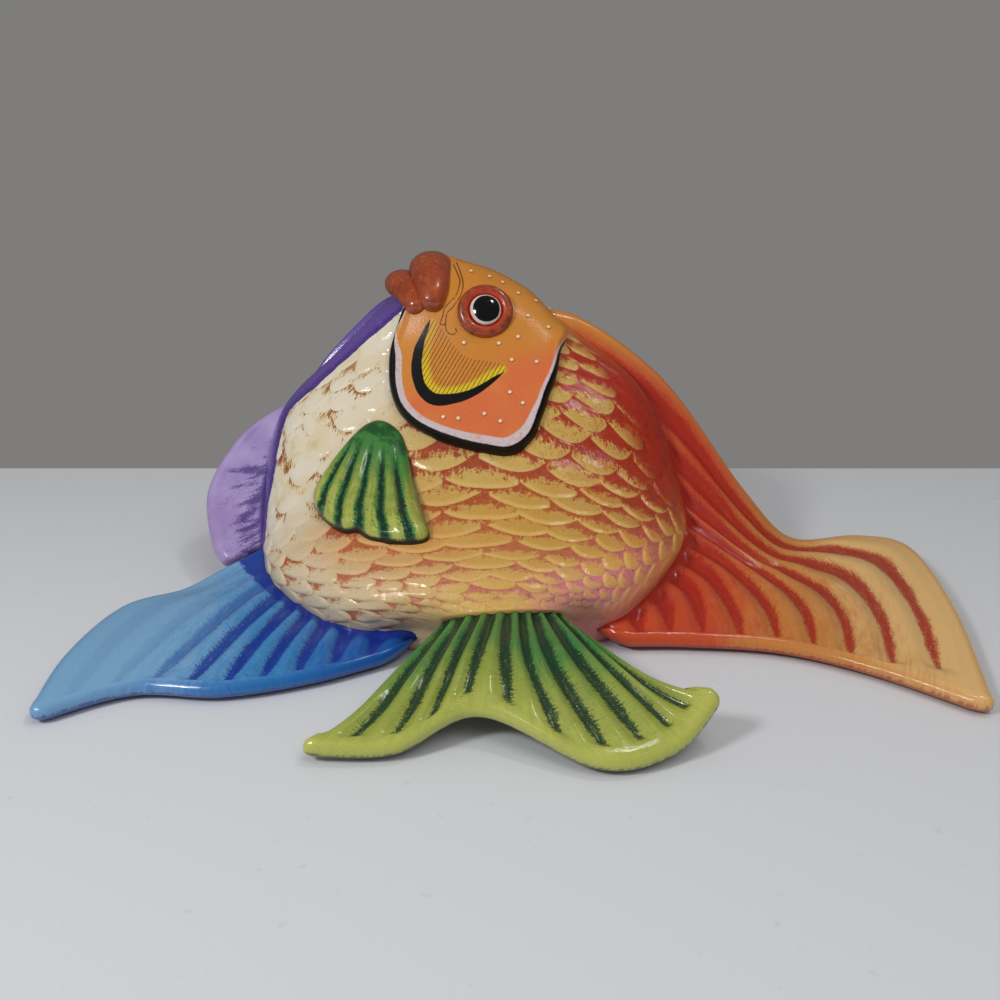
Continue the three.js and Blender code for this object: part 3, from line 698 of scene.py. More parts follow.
class FishPaints(bpy.types.PropertyGroup):
    """Paints of the fish."""

    head: colour_property("Head", "Forehead and cheek", 0xCE8430)
    jaw: colour_property("Jaw", "Lower part of the gill cover", 0xDA6E3E)
    cheek: colour_property("Cheek glow", "Yellow inside the cheek mark", 0xDCBE22)
    line: colour_property("Line", "Black bands and marks", 0x060607)
    hatch: colour_property("Hatch", "Thin brown cheek lines", 0x522A0C)
    band: colour_property("Band", "Pale band inside the gill edge", 0xCDBDC0)
    dot: colour_property("Dot", "Raised dots", 0xEAD8B4)
    lip: colour_property("Lip", "Lips and eye socket", 0xA2441F)
    lip_dark: colour_property("Lip shade", "Darker mottling of the lips", 0x64281A)
    pupil: colour_property("Pupil", "Eyeball", 0x030304)
    eye_ring: colour_property("Eye ring", "White ring round the pupil", 0xDCD0C8)
    red: colour_property("Fin red", "Grooves and root of the back fin", 0xA82010)
    coral: colour_property("Fin coral", "Ribs of the back fin near its root", 0xC44A26)
    amber: colour_property("Fin amber", "Ribs of the back fin half way out", 0xC98440)
    peach: colour_property("Fin peach", "Tip of the back fin", 0xE6BA78)
    ultramarine: colour_property("Ultramarine", "Grooves and root of the blue fin", 0x0A2A90)
    cobalt: colour_property("Cobalt", "Ribs of the blue fin near its root", 0x0456A8)
    azure: colour_property("Azure", "Ribs of the blue fin half way out", 0x3F88C0)
    sky: colour_property("Sky", "Tip of the blue fin", 0x7AA8CE)
    violet: colour_property("Violet", "Grooves of the belly fin", 0x46307E)
    purple: colour_property("Purple", "Upper strip of the belly fin", 0x64489C)
    lavender: colour_property("Lavender", "Belly fin", 0xA08AC0)
    pine: colour_property("Pine green", "Grooves of the green fins", 0x0E3424)
    leaf: colour_property("Leaf green", "Roots of the green fins", 0x42823E)
    olive: colour_property("Olive", "Ribs of the green fins half way out", 0x96A044)
    lime: colour_property("Lime", "Rims of the green fins", 0xBEC05C)


class StageSettings(bpy.types.PropertyGroup):
    """The floor, the background and the lamps."""

    floor: colour_property("Floor", "Pale table top", 0xDADCE0)
    backdrop: colour_property("Backdrop", "Background above the floor", 0x7E7D7C)
    key_watts: FloatProperty(name="Key lamp", description="Power of the lamps", unit="POWER", default=6.4)
    sky_strength: FloatProperty(name="Sky", description="Strength of the light from all sides", default=0.3)


def keep(obj, material, slot, *nodes, body=FISH):
    """Gives a finished piece its paint and its place on the frame."""
    obj.data.materials.clear()
    obj.data.materials.append(material)
    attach(obj, body)
    if nodes:
        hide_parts(*nodes)
    return obj


def flank_paint(paints):
    """Dry-brushed scales over recess paint, a violet strip along the belly and bare clay in the hollow."""
    p = Paintwork("flank_paint", roughness=0.45, varnish=0.9, gloss=0.05, specular=0.2)
    row, column = p.value("scale_row"), p.value("scale_column")
    rise, square, chance = scale_pattern(p, row, column)
    scaled = p.value("painted_scales")
    share = p.value("raised_share")
    speckle = p.centred(p.noise(1700, 2))
    hairs = p.centred(p.noise(1.0, 3, where=p.vector(column * 22.0, row * 3.5, 0.0)))
    soft = p.centred(p.noise(260, 3))
    # Raised paint is dragged up each scale from its free edge. On the cream belly the bare marks lie under
    # the lapping edges instead, and gather here and there.
    cream = p.ramp(share, 1.1, 1.5)
    uneven = p.ramp(share, 1.05, 1.5, 0.55, 0.6)
    gathered = p.noise(1.0, 1, where=p.vector(column * 1.2, row * 0.9, 5.0))
    gathered = (p.centred(gathered, 3.0) + 0.2) * cream
    leaf = 1.0 - square * p.ramp(share, 0.95, 1.4, 3.4, 0.4)
    reach = (share + (chance - 0.5) * uneven + gathered) * leaf
    dashes = hairs * p.ramp(share, 1.1, 1.5, 1.1, 2.6)
    lapped = p.math("SQRT", square) * cream * 2.1
    up = rise + lapped + speckle * 0.8 + dashes + soft * 1.1
    left_bare = reach - up
    raised = p.ramp(left_bare, -0.16, 0.12)
    bare = p.ramp(speckle + hairs * 0.5 + soft * 0.4, 0.05, 0.2, 0.0, 0.7)
    worn = raised * (1.0 - bare * p.ramp(share, 1.0, 0.6))
    cover = worn * scaled + (1.0 - scaled) * p.ramp(share, 0.55, 0.8)
    # Tints in the raised paint: clouds, dry grain, a painted highlight along each free edge, stains and a
    # halo round the bare marks.
    cloud = p.noise(55, 4)
    front = p.ramp(p.value("rear"), 0.4, 0.0)
    clouded = p.ramp(cloud, 0.45, 0.7, 0.0, 0.3) * front
    top = p.mix(clouded, p.colour("raised_paint"), STRAW)
    grain = p.ramp(speckle + hairs * 0.5, 0.02, 0.3, 0.0, 0.4) * p.ramp(share, 1.5, 1.1)
    top = p.mix(grain, top, UMBER)
    # Painted highlight: pale gold on the free edge of each gold scale.
    painted_highlight = p.ramp(rise, 0.3, 0.02, 0.0, 0.45) * p.ramp(share, 1.15, 0.95)
    top = p.mix(painted_highlight, top, HIGHLIGHT_GOLD)
    stain = p.ramp(p.noise(90, 3), 0.58, 0.72, 0.0, 0.45) * p.ramp(share, 1.1, 1.4) * front
    top = p.mix(stain, top, OLD_VARNISH)
    halo = p.ramp(left_bare, 0.4, 0.0, 0.0, 0.6) * cream * front
    top = p.mix(halo, top, MUSTARD)
    under = p.mix(p.ramp(p.noise(500, 3), 0.42, 0.7, 0.0, 0.3), p.colour("recess_paint"), OXBLOOD)
    shade = p.mix(cover, under, top)
    # Painted shade: recess paint darkens the deep step just under each lapping edge.
    painted_crease_shade = p.ramp(rise, 0.1, -0.02) * scaled * p.ramp(share, 1.0, 1.3, 0.35, 0.0)
    shade = p.mix(painted_crease_shade, shade, under)
    # The violet strip, ragged at its edge and fading out at the rear, and bare clay inside the hollow.
    line = p.value("violet_gap") + speckle * 1.5 + soft * 2.0
    strip = p.mix(p.ramp(line + soft * 7, 2.0, 12.0), paints.violet, paints.purple)
    strip = p.mix(p.ramp(p.noise(900, 3), 0.5, 0.7, 0.0, 0.2), strip, paints.lavender)
    rear = p.value("rear") + p.centred(cloud, 0.5) + soft * 0.3
    shade = p.mix(p.ramp(line, -0.5, 0.5) * p.ramp(rear, 0.7, 0.3), shade, strip)
    clay = p.mix(p.ramp(p.noise(240, 5, roughness=0.65), 0.35, 0.7), CLAY, DARK_CLAY)
    shade = p.mix(p.ramp(p.value("painted_skin"), 0.8, 0.98), clay, shade)
    return p.finish(shade, p.noise(1100, 3) + p.noise(320, 3) * 2.0 + worn * 0.5, 0.3)


class FISH_OT_body(bpy.types.Operator):
    """Body shell with lapped scales on the flank and a hollow back"""

    bl_idname = "wallfish.body"
    bl_label = "Body"

    ROWS, FLANK_COLUMNS, REAR_COLUMNS = 236, 300, 44
    HOLLOW_ROWS, HOLLOW_COLUMNS = 48, 72

    def outside(self, sizes):
        """The outer skin's points, ring after ring from the tail, and their paint values."""
        crest = np.linspace(0, 1, 2001)
        length = run_length(skin(90, crest))
        along = np.interp(np.linspace(0, length[-1], self.ROWS), length, crest)
        degrees = np.concatenate([
            np.linspace(-20, 200, self.FLANK_COLUMNS, endpoint=False),
            np.linspace(200, 340, self.REAR_COLUMNS, endpoint=False)])
        turn, place = np.meshgrid(degrees, along)
        points = skin(turn, place).reshape(-1, 3)
        turn, place = turn.ravel(), place.ravel()
        patches = BODY_PATCHES.values()
        centres = np.array([patch[:2] for patch in patches])[:, :, None]
        away = ((turn - centres[:, 0] + 180) % 360 - 180) / PATCH_DEGREES
        gap = away ** 2 + ((place - centres[:, 1]) / PATCH_ALONG) ** 2
        weights = np.exp(-gap) + 1e-9 / (1 + gap)
        weights /= weights.sum(0)
        raised = weights.T @ np.array([paint(patch[2]) for patch in patches])
        recess = weights.T @ np.array([paint(patch[3]) for patch in patches])
        share = weights.T @ np.array([patch[4] for patch in patches])
        to_back = np.where(turn < 90, 1 - turn / 90, np.maximum(0, turn / 180 - 1)).clip(0, 1.2)
        straight = place.copy()
        for _ in range(40):
            straight = place + SCALE_SLANT * to_back * np.sin(math.pi * straight)
        belly = smooth(112, 135, turn) * smooth(0.25, 0.42, place)
        calm = smooth(0.36, 0.22, place)
        bare_edge = 12 + 12 * smooth(0.3, 0.42, place) * smooth(0.72, 0.6, place)
        violet = np.interp(place, *np.array(VIOLET_LINE).T)
        strip = turn - violet
        scaled = smooth(-4 + bare_edge, 14 + bare_edge, turn) * smooth(4, -4, strip)
        scaled *= smooth(0.0, 0.05, place)
        red_edge = 12 + 26 * smooth(0.33, 0.4, place) * smooth(0.7, 0.6, place)
        painted = scaled * smooth(-4 + red_edge, 12 + red_edge, turn)
        return points, {
            "scale_row": straight * sizes.scale_rows,
            "scale_column": turn / 180 * sizes.scale_columns,
            "scaled": scaled * (1 - 0.5 * belly - 0.25 * calm), "painted_scales": painted,
            "violet_gap": strip, "rear": np.maximum(smooth(205, 275, turn), smooth(5, -15, turn)),
            "raised_paint": raised, "recess_paint": recess, "raised_share": share,
            "painted_skin": np.ones(len(turn)),
        }

    def execute(self, context):
        sizes = context.scene.fish_sizes
        points, values = self.outside(sizes)
        points, faces = fanned_tube(points, self.FLANK_COLUMNS + self.REAR_COLUMNS)
        values = {k: np.concatenate([v, v[:1], v[-1:]]) for k, v in values.items()}
        shell = mesh_object("body_shell_relief", points, faces, values, clip=False)
        hollow_degrees = np.linspace(0, 360, self.HOLLOW_COLUMNS, endpoint=False)
        turn, place = np.meshgrid(hollow_degrees, np.linspace(*HOLLOW, self.HOLLOW_ROWS))
        inner = proud(turn, place, -BODY_WALL + 0 * turn).reshape(-1, 3)
        cut_at_wall(shell, *fanned_tube(inner, self.HOLLOW_COLUMNS, flip=True))
        material = flank_paint(context.scene.fish_paints)
        run_group(shell, scale_tree(), {
            "Depth": sizes.scale_depth, "Lip": SCALE_LIP, "Paint": material})
        clip_to_box(shell)
        keep(shell, material, "flank_paint", "body_shell")
        return {"FINISHED"}


def clip_to_box(obj):
    """Keeps the points of a piece inside the object's box."""
    points = np.zeros(len(obj.data.vertices) * 3, np.float32)
    obj.data.vertices.foreach_get("co", points)
    points = np.clip(points.reshape(-1, 3), np.array(CAD_LOW), np.array(CAD_HIGH))
    obj.data.vertices.foreach_set("co", points.ravel())
    obj.data.update()


def add_faces(bm, points, faces):
    """Adds points in metres, and faces between them, to a mesh in the making."""
    made = [bm.verts.new(point) for point in points]
    for face in faces:
        bm.faces.new([made[k] for k in face])


def cut_at_wall(shell, inner, inner_faces):
    """Cuts the skin and the hollow flat at the wall and closes the rim between them."""
    bm = bmesh.new()
    bm.from_mesh(shell.data)
    add_faces(bm, inner * MM, inner_faces)
    bm.normal_update()
    bmesh.ops.bisect_plane(
        bm, geom=bm.verts[:] + bm.edges[:] + bm.faces[:], dist=1e-7,
        plane_co=(0, 0, 0), plane_no=(0, 0, 1), clear_inner=True)
    rim = [e for e in bm.edges if e.is_boundary]
    bmesh.ops.triangle_fill(bm, use_beauty=True, use_dissolve=False, edges=rim, normal=(0, 0, -1))
    bmesh.ops.recalc_face_normals(bm, faces=bm.faces)
    bm.to_mesh(shell.data)
    bm.free()


def cover_paint(paints):
    """Orange head with a coral jaw, a black crescent with a hatched glow, and a banded edge."""
    p = Paintwork("head_paint", roughness=0.45, varnish=0.12, gloss=0.15, specular=0.3)
    wobble = p.centred(p.noise(160, 2), 0.5)
    fuzz = p.centred(p.noise(900, 2))
    x, y = p.value("cheek_x"), p.value("cheek_y")
    jaw = p.ramp(y - x * 0.25 + wobble * 10, -4, -26)
    outside = p.ramp(p.value("hatch"), -0.5, 3.0)
    base = p.mix(jaw * outside, paints.head, paints.jaw)
    base = p.mix(p.ramp(p.noise(45, 3), 0.42, 0.75, 0, 0.3), base, APRICOT)
    fine = p.mix(p.ramp(p.noise(1400, 2), 0.5, 0.8, 0, 0.4), base, RUSSET)
    # A yellow glow inside the crescent, under slanted hatching, and the nostril's thin lines.
    glow = p.ramp(p.value("crescent") + wobble * 3, 5.2, 2.2)
    glow = glow * p.ramp(y - x * 0.6, 14, -8, 0.45, 1.0)
    in_hatch = p.ramp(p.value("hatch"), 0.4, -0.4)
    glowing = p.mix(glow * p.ramp(p.value("hatch"), 1.0, -0.5), fine, paints.cheek)
    slant = x * 0.87 - y * 0.5 + wobble * 0.35
    stroke = p.math("ABSOLUTE", p.math("FLOORED_MODULO", slant, 1.85) - 0.92)
    strokes = p.ramp(stroke + fuzz * 0.25, 0.26, 0.12) * in_hatch * 0.9
    lined = p.mix(strokes, glowing, paints.hatch)
    nostril = p.ramp(p.value("nostril"), 0.46, 0.22) * 0.85
    lined = p.mix(nostril, lined, paints.hatch)
    # Ticks along the line over the forehead.
    tick = p.math("ABSOLUTE", p.math("FLOORED_MODULO", p.value("ridge_place"), 1.5) - 0.75)
    ticks = p.ramp(tick, 0.36, 0.18) * p.ramp(p.value("ridge"), 1.2, 0.7) * 0.75
    lined = p.mix(ticks, lined, SEPIA)
    # The pale and the black band along the free edge, and the crescent.
    taper = p.value("band_taper")
    edge = p.value("edge") + wobble * 0.7 + fuzz * 0.5
    pale = p.ramp(edge - p.value("pale_reach") * taper, 0.35, -0.35)
    worn = p.ramp(p.noise(420, 4, roughness=0.65), 0.52, 0.68, 1.0, 0.45)
    banded = p.mix(pale * worn, lined, paints.band)
    black = p.ramp(edge - p.value("black_reach") * taper, 0.25, -0.25)
    banded = p.mix(black, banded, paints.line)
    mark = p.ramp(p.value("crescent") + wobble * 0.4 + fuzz * 0.4, 0.2, -0.2)
    return p.finish(p.mix(mark, banded, paints.line), p.noise(900, 2), 0.2)


class FISH_OT_gill_cover(bpy.types.Operator):
    """Head plate that laps over the flank, with its rounded lip and cheek marks"""

    bl_idname = "wallfish.gill_cover"
    bl_label = "Gill cover"

    COLUMNS, ROWS = 210, 150
    LIP_ROUND, UNDERSIDE = 3.0, 1.5
    ROLL_HEIGHT, ROLL_PLACE, ROLL_WIDTH = 0.8, 3.2, 2.2
    # The ticked line over the forehead: its places along, their degrees, and its length.
    RIDGE_ALONG, RIDGE_DEGREES, RIDGE_LENGTH = (0.74, 0.845, 0.951), (1, 3, 8), 95

    def execute(self, context):
        across = np.linspace(0, 1, self.COLUMNS)
        inward = np.linspace(0, 1, self.ROWS) ** 1.35
        s, t = np.meshgrid(across, inward)
        edge = curve_through(GILL_EDGE, s)
        degrees, along = edge[..., 0], edge[..., 1] + (1 - edge[..., 1]) * t
        base = skin(degrees, along)
        belly_side = skin(GILL_EDGE[0][0], np.linspace(1, GILL_EDGE[0][1], 60))
        free = curve_through(GILL_EDGE, np.linspace(0, 1, 160))
        free_line = skin(free[:, 0], free[:, 1])
        start = np.array(BAND_START)
        line = np.vstack([skin(start[:, 0], start[:, 1]), free_line[free[:, 0] > 29]])
        edge_gap, where = distance_to(base, line)
        side_gap, _ = distance_to(base, np.vstack([belly_side, free_line]))
        flush = smooth(48, 14, degrees)
        lip = rounded(side_gap, self.LIP_ROUND) * (1 - flush) + smooth(-6, 20, side_gap) * flush
        roll = self.ROLL_HEIGHT * bell(side_gap, self.ROLL_PLACE, self.ROLL_WIDTH) * (1 - flush)
        height = COVER_PROUD * lip * smooth(-44, -4, degrees) + roll
        upper = base + skin_normal(degrees, along) * height[..., None]
        lower = base - skin_normal(degrees, along) * self.UNDERSIDE
        origin, right, up, _ = cheek_frame()
        flat = np.stack([(upper - origin) @ right, (upper - origin) @ up], -1)
        crescent = np.vstack([polyline(CRESCENT_OUTER, 60), polyline(CRESCENT_INNER, 60)[::-1][1:-1]])
        hatched = np.vstack([polyline(CRESCENT_INNER, 60), polyline(HATCH_TOP, 40)])
        nostril = np.minimum(*(distance_to(flat, polyline(points, 60))[0] for points in NOSTRIL_LINES))
        ridge_along = np.linspace(0.97, 0.74, 80)
        ridge_degrees = np.interp(ridge_along, self.RIDGE_ALONG, self.RIDGE_DEGREES)
        ridge, ridge_place = distance_to(base, skin(ridge_degrees, ridge_along))
        taper = smooth(-0.05, 0.14, where) * smooth(1.02, 0.8, where)
        black_reach = 2.7 + 1.9 * smooth(0.4, 0.14, where)
        pale_reach = black_reach + 2.9 + 2.0 * bell(where, 0.6, 0.12) - 1.3 * smooth(0.66, 0.8, where)
        cover = slab_object("gill_cover_plate", upper, lower, {
            "cheek_x": flat[..., 0], "cheek_y": flat[..., 1],
            "crescent": signed_distance(flat, crescent),
            "hatch": signed_distance(flat, hatched),
            "nostril": nostril, "ridge": ridge, "ridge_place": ridge_place * self.RIDGE_LENGTH,
            "edge": edge_gap, "band_taper": taper,
            "black_reach": black_reach, "pale_reach": pale_reach,
        })
        keep(cover, cover_paint(context.scene.fish_paints), "head_paint", "gill_cover")
        return {"FINISHED"}


def dot_paint(paints):
    """Pale dots with brown painted shade round the foot."""
    p = Paintwork("dot_paint", roughness=0.35, varnish=0.4)
    dome = p.value("dome") + p.centred(p.noise(1500, 2), 0.5)
    # Painted shade: brown where the dome meets the head.
    foot = p.mix(p.ramp(dome, 0.1, 0.45), FOOT_SHADE_BROWN, paints.head)
    return p.finish(p.mix(p.ramp(dome, 0.4, 0.75), foot, paints.dot))


class FISH_OT_head_dots(bpy.types.Operator):
    """Raised dots on the head"""

    bl_idname = "wallfish.head_dots"
    bl_label = "Head dots"

    SEATED_ON = ("gill_cover_plate", "body_shell_relief")

    def execute(self, context):
        graph = bpy.context.evaluated_depsgraph_get()
        trees = [BVHTree.FromObject(bpy.data.objects[name], graph) for name in self.SEATED_ON]
        origin, right, up, outward = cheek_frame()
        seats, normals = [], []
        for x, y in HEAD_DOTS:
            start = Vector((origin + right * x + up * y + outward * 40) * MM)
            hits = [tree.ray_cast(start, Vector(-outward)) for tree in trees]
            point, normal, _, _ = min((hit for hit in hits if hit[0]), key=lambda hit: hit[3])
            seats.append(np.array(point) / MM)
            normals.append(normal)
        dots = mesh_object("head_dots", np.array(seats), [])
        turned = dots.data.attributes.new("outward", "FLOAT_VECTOR", "POINT")
        turned.data.foreach_set("vector", np.array(normals, np.float32).ravel())
        sizes = context.scene.fish_sizes
        material = dot_paint(context.scene.fish_paints)
        run_group(dots, dot_tree(), {
            "Radius": sizes.dot_radius, "Height": sizes.dot_height, "Paint": material})
        keep(dots, material, "head_paint")
        return {"FINISHED"}


def lathe_object(name, profile, place, segments=72):
    """A turned piece, square to the gill cover, from radii and heights; stores where its points lie."""
    profile = np.array(profile, float)
    turn = np.linspace(0, 2 * math.pi, segments, endpoint=False)
    outward = skin_normal(*place)
    right = unit(np.cross(outward, (0, 0, 1)))
    up = np.cross(outward, right)
    origin = proud(*place, COVER_PROUD)
    ring = right * np.cos(turn)[:, None] + up * np.sin(turn)[:, None]
    points = origin + profile[:, None, :1] * ring[None] + profile[:, None, 1:] * outward
    spread = profile[:, :1] * np.stack([np.cos(turn), np.sin(turn)])[:, None]
    faces = grid_faces(len(profile), segments, closed=True)
    values = {"to_left": spread[0].ravel(), "to_foot": spread[1].ravel()}
    return close_up(mesh_object(name, points, faces, values), 2e-6)


def rust_paint(paints):
    """Mottled rust brown under a thick varnish."""
    p = Paintwork("rust_paint", roughness=0.35, varnish=0.9, gloss=0.12)
    blotch = p.ramp(p.noise(90, 6, roughness=0.75), 0.46, 0.7, 0, 0.7)
    base = p.mix(blotch, paints.lip, paints.lip_dark)
    warm = p.mix(p.ramp(p.noise(380, 4), 0.5, 0.72, 0, 0.6), base, COPPER)
    return p.finish(warm, p.noise(260, 4), 0.35, 0.0005)


def ring_distance(p, left, foot):
    """Distance from a spot on the eye, in millimetres, a little less from head to foot."""
    across = p.value("to_left") - left
    down = (p.value("to_foot") - foot) * 0.96
    return p.math("SQRT", across * across + down * down)


def socket_paint(paints):
    """Rust socket with a brighter red inner slope."""
    p = Paintwork("socket_paint", roughness=0.34, varnish=0.5)
    blotch = p.ramp(p.noise(190, 6, roughness=0.7), 0.42, 0.62, 0, 0.75)
    base = p.mix(blotch, paints.lip, paints.lip_dark)
    base = p.mix(p.ramp(p.noise(420, 4), 0.5, 0.72, 0, 0.6), base, TERRACOTTA)
    inner = p.ramp(ring_distance(p, 0, 0) + p.centred(p.noise(300, 3), 1.2), 10.2, 9.3)
    return p.finish(p.mix(inner * 0.85, base, VERMILION), p.noise(300, 4), 0.35)


def eye_paint(paints):
    """Black pupil with a white ring and a red edge, under a glassy varnish."""
    p = Paintwork("eye_paint", roughness=0.15, varnish=1.0, gloss=0.03)
    wobble = p.centred(p.noise(220, 2), 0.5)
    ring = p.ramp(ring_distance(p, -0.35, 0.0) + wobble, 6.3, 6.6)
    eye = p.mix(ring, paints.pupil, paints.eye_ring)
    edge = p.ramp(ring_distance(p, 0, 0) + wobble, 7.25, 7.55)
    return p.finish(p.mix(edge, eye, CINNABAR))


class FISH_OT_eye(bpy.types.Operator):
    """Eye socket ring and domed eyeball"""

    bl_idname = "wallfish.eye"
    bl_label = "Eye"

    SEAT, AXIS = -3, 1e-4
    BALL_RADIUS, BALL_FOOT, BALL_HEIGHT = 7.8, 1.4, 3.1
    SOCKET_PROFILE = (
        (8.1, SEAT), (8.1, 0.9), (8.4, 1.5), (9.0, 2.1), (9.9, 2.5), (10.9, 2.6), (11.9, 2.4),
        (12.7, 1.9), (13.2, 1.2), (13.5, 0.4), (13.5, SEAT), (8.1, SEAT),
    )

    def execute(self, context):
        paints = context.scene.fish_paints
        socket = lathe_object("eye_socket_ring", self.SOCKET_PROFILE, EYE_PLACE)
        keep(socket, socket_paint(paints), "rust_paint", "eye_socket")
        rise = np.linspace(0, math.pi / 2, 18)
        radius, foot, height = self.BALL_RADIUS, self.BALL_FOOT, self.BALL_HEIGHT
        dome = [(radius * math.cos(a), foot + height * math.sin(a)) for a in rise[:-1]]
        profile = [(self.AXIS, self.SEAT), (radius, self.SEAT), *dome, (self.AXIS, foot + height)]
        ball = lathe_object("eyeball_dome", profile, EYE_PLACE)
        keep(ball, eye_paint(paints), "eye_paint", "eyeball")
        return {"FINISHED"}


class FISH_OT_lips(bpy.types.Operator):
    """Upper and lower lip rolls"""

    bl_idname = "wallfish.lips"
    bl_label = "Lips"

    STEPS, SIDES, END_ROUND = 90, 48, 4.5

    def roll(self, name, points, widen, lean):
        """A roll of clay along a curve, widened and moved to one side, rounded at both ends."""
        line = polyline(points, self.STEPS)
        path, radius = line[:, :3], line[:, 3]
        length = run_length(path)
        end = np.minimum(length, length[-1] - length)
        radius = radius * np.maximum(rounded(end, self.END_ROUND), 0.02)
        forward = unit(np.gradient(path, axis=0))
        side = unit(np.cross(forward, np.broadcast_to((1.0, 0, 0), forward.shape)))
        up = np.cross(side, forward)
        turn = np.linspace(0, 2 * math.pi, self.SIDES, endpoint=False)
        ring = side[:, None] * np.cos(turn)[None, :, None] + up[:, None] * np.sin(turn)[None, :, None]
        grid = path[:, None] + ring * radius[:, None, None]
        full = (radius / radius.max())[:, None]
        grid[..., 0] = path[:, :1] + (grid[..., 0] - path[:, :1]) * (1 + widen * full) - lean * full
        return close_up(mesh_object(name, grid, tube_faces(self.STEPS, self.SIDES)))

    def execute(self, context):
        material = rust_paint(context.scene.fish_paints)
        upper = self.roll("upper_lip_roll", UPPER_LIP, widen=0.26, lean=3.4)
        keep(upper, material, "rust_paint", "upper_lip")
        lower = self.roll("lower_lip_roll", LOWER_LIP, widen=0.3, lean=-0.8)
        keep(lower, material, "rust_paint", "lower_lip")
        return {"FINISHED"}


def fin_paint(name, ribs, colours, groove, rim, share, run, collar, ridge=None):
    """Brushed fin: root, middle and tip paints, dry-brushed grooves, a rim and a collar at the root.

    share is the painted share of a groove at the root and the edge; run says how the paints follow one
    another: weights of x, of z and of the place along a ray, and a constant; collar is its length low down
    and high up, in millimetres; ridge is the share of the fin, from its first ray, that takes the rim's
    paint, and the paint it starts with.
    """
    p = Paintwork(name, roughness=0.45, varnish=0.75, gloss=0.07, specular=0.25)
    across, along, root, side = (p.value(key) for key in ("across", "along", "root", "side"))
    x, _, z = p.split(p.place)
    bristles = p.vector(across * (ribs * 2.6), root * 1.6, 0.0)
    brush = p.centred(p.noise(1.0, 3, where=bristles, roughness=0.7))
    streaks = p.centred(p.noise(1.0, 3, where=p.vector(across * (ribs * 9.0), root * 0.12, 3.0)))
    speckle = p.centred(p.noise(1500, 2))
    blot = p.centred(p.noise(60, 3))
    reach = x * run[0] + z * run[1] + along * run[2] + run[3] + blot * 0.4 + streaks * 0.55
    base = p.mix(p.ramp(reach, 0.0, 0.5), colours[0], colours[1])
    base = p.mix(p.ramp(reach, 0.45, 0.95), base, colours[2])
    hatch = p.ramp(brush + streaks * 0.6, 0.02, 0.2, 0.0, 0.55) * p.ramp(reach, 1.0, 0.5) * side
    base = p.mix(hatch, base, colours[0])
    # A collar where the fin leaves the body, and the ridge.
    neck = root + brush * 7.0 + blot * 6.0
    neck = p.ramp(neck - p.ramp(z, 0.014, 0.026, collar[0], collar[1]), -1.0, 1.0, 0.9, 0.0)
    if ridge:
        crest = across + blot * 0.03 + speckle * 0.02 - ridge[0]
        crest = p.ramp(crest, 0.02, -0.03) * p.ramp(along, 0.75, 0.5)
        crest = crest * p.ramp(x, 0.03, 0.07, 0.95, 0.5)
        base = p.mix(crest, base, p.mix(p.ramp(x, 0.025, 0.075), ridge[1], rim))
        neck = neck * (1.0 - crest)
    # Dry-brushed strokes in the grooves.
    wave = p.ridges(across, ribs * math.pi)
    end = p.ramp(p.value("rim"), 1.0, 3.2, -0.2, 0.0)
    width = p.ramp(along, 0.0, 1.0, share[0], share[1]) + end + blot * 0.5
    depth = width - wave + brush * 0.9 + speckle * 0.8 + streaks * 0.4
    window = p.ramp(p.value("rim") + brush * 0.8 + speckle * 0.6, 0.95, 1.3)
    strokes = p.ramp(depth, -0.1, 0.16) * window * side * p.value("grooved")
    dry = p.ramp(speckle + streaks * 0.6, 0.04, 0.26, 0.95, 0.55)
    grooved = p.mix(strokes * dry, base, groove)
    grooved = p.mix(neck, grooved, groove)
    # The rim, painted shade on the underside and worn specks.
    edge = p.value("edge_gap") + speckle * 1.5 + blot * 1.5
    rim_share = p.ramp(edge, 5.0, 1.5) * side * p.ramp(reach, 0.6, 1.2, 0.6, 0.15)
    rim_share = rim_share * p.ramp(reach, -0.05, 0.3)
    rimmed = p.mix(rim_share, grooved, rim)
    # Painted shade: the underside takes most of the groove paint.
    under = p.mix((1.0 - side) * 0.7, rimmed, groove)
    worn = p.mix(p.ramp(speckle + brush * 0.4, 0.12, 0.32, 0.0, 0.35), under, groove)
    return p.finish(worn, brush + speckle * 0.5, 0.15)


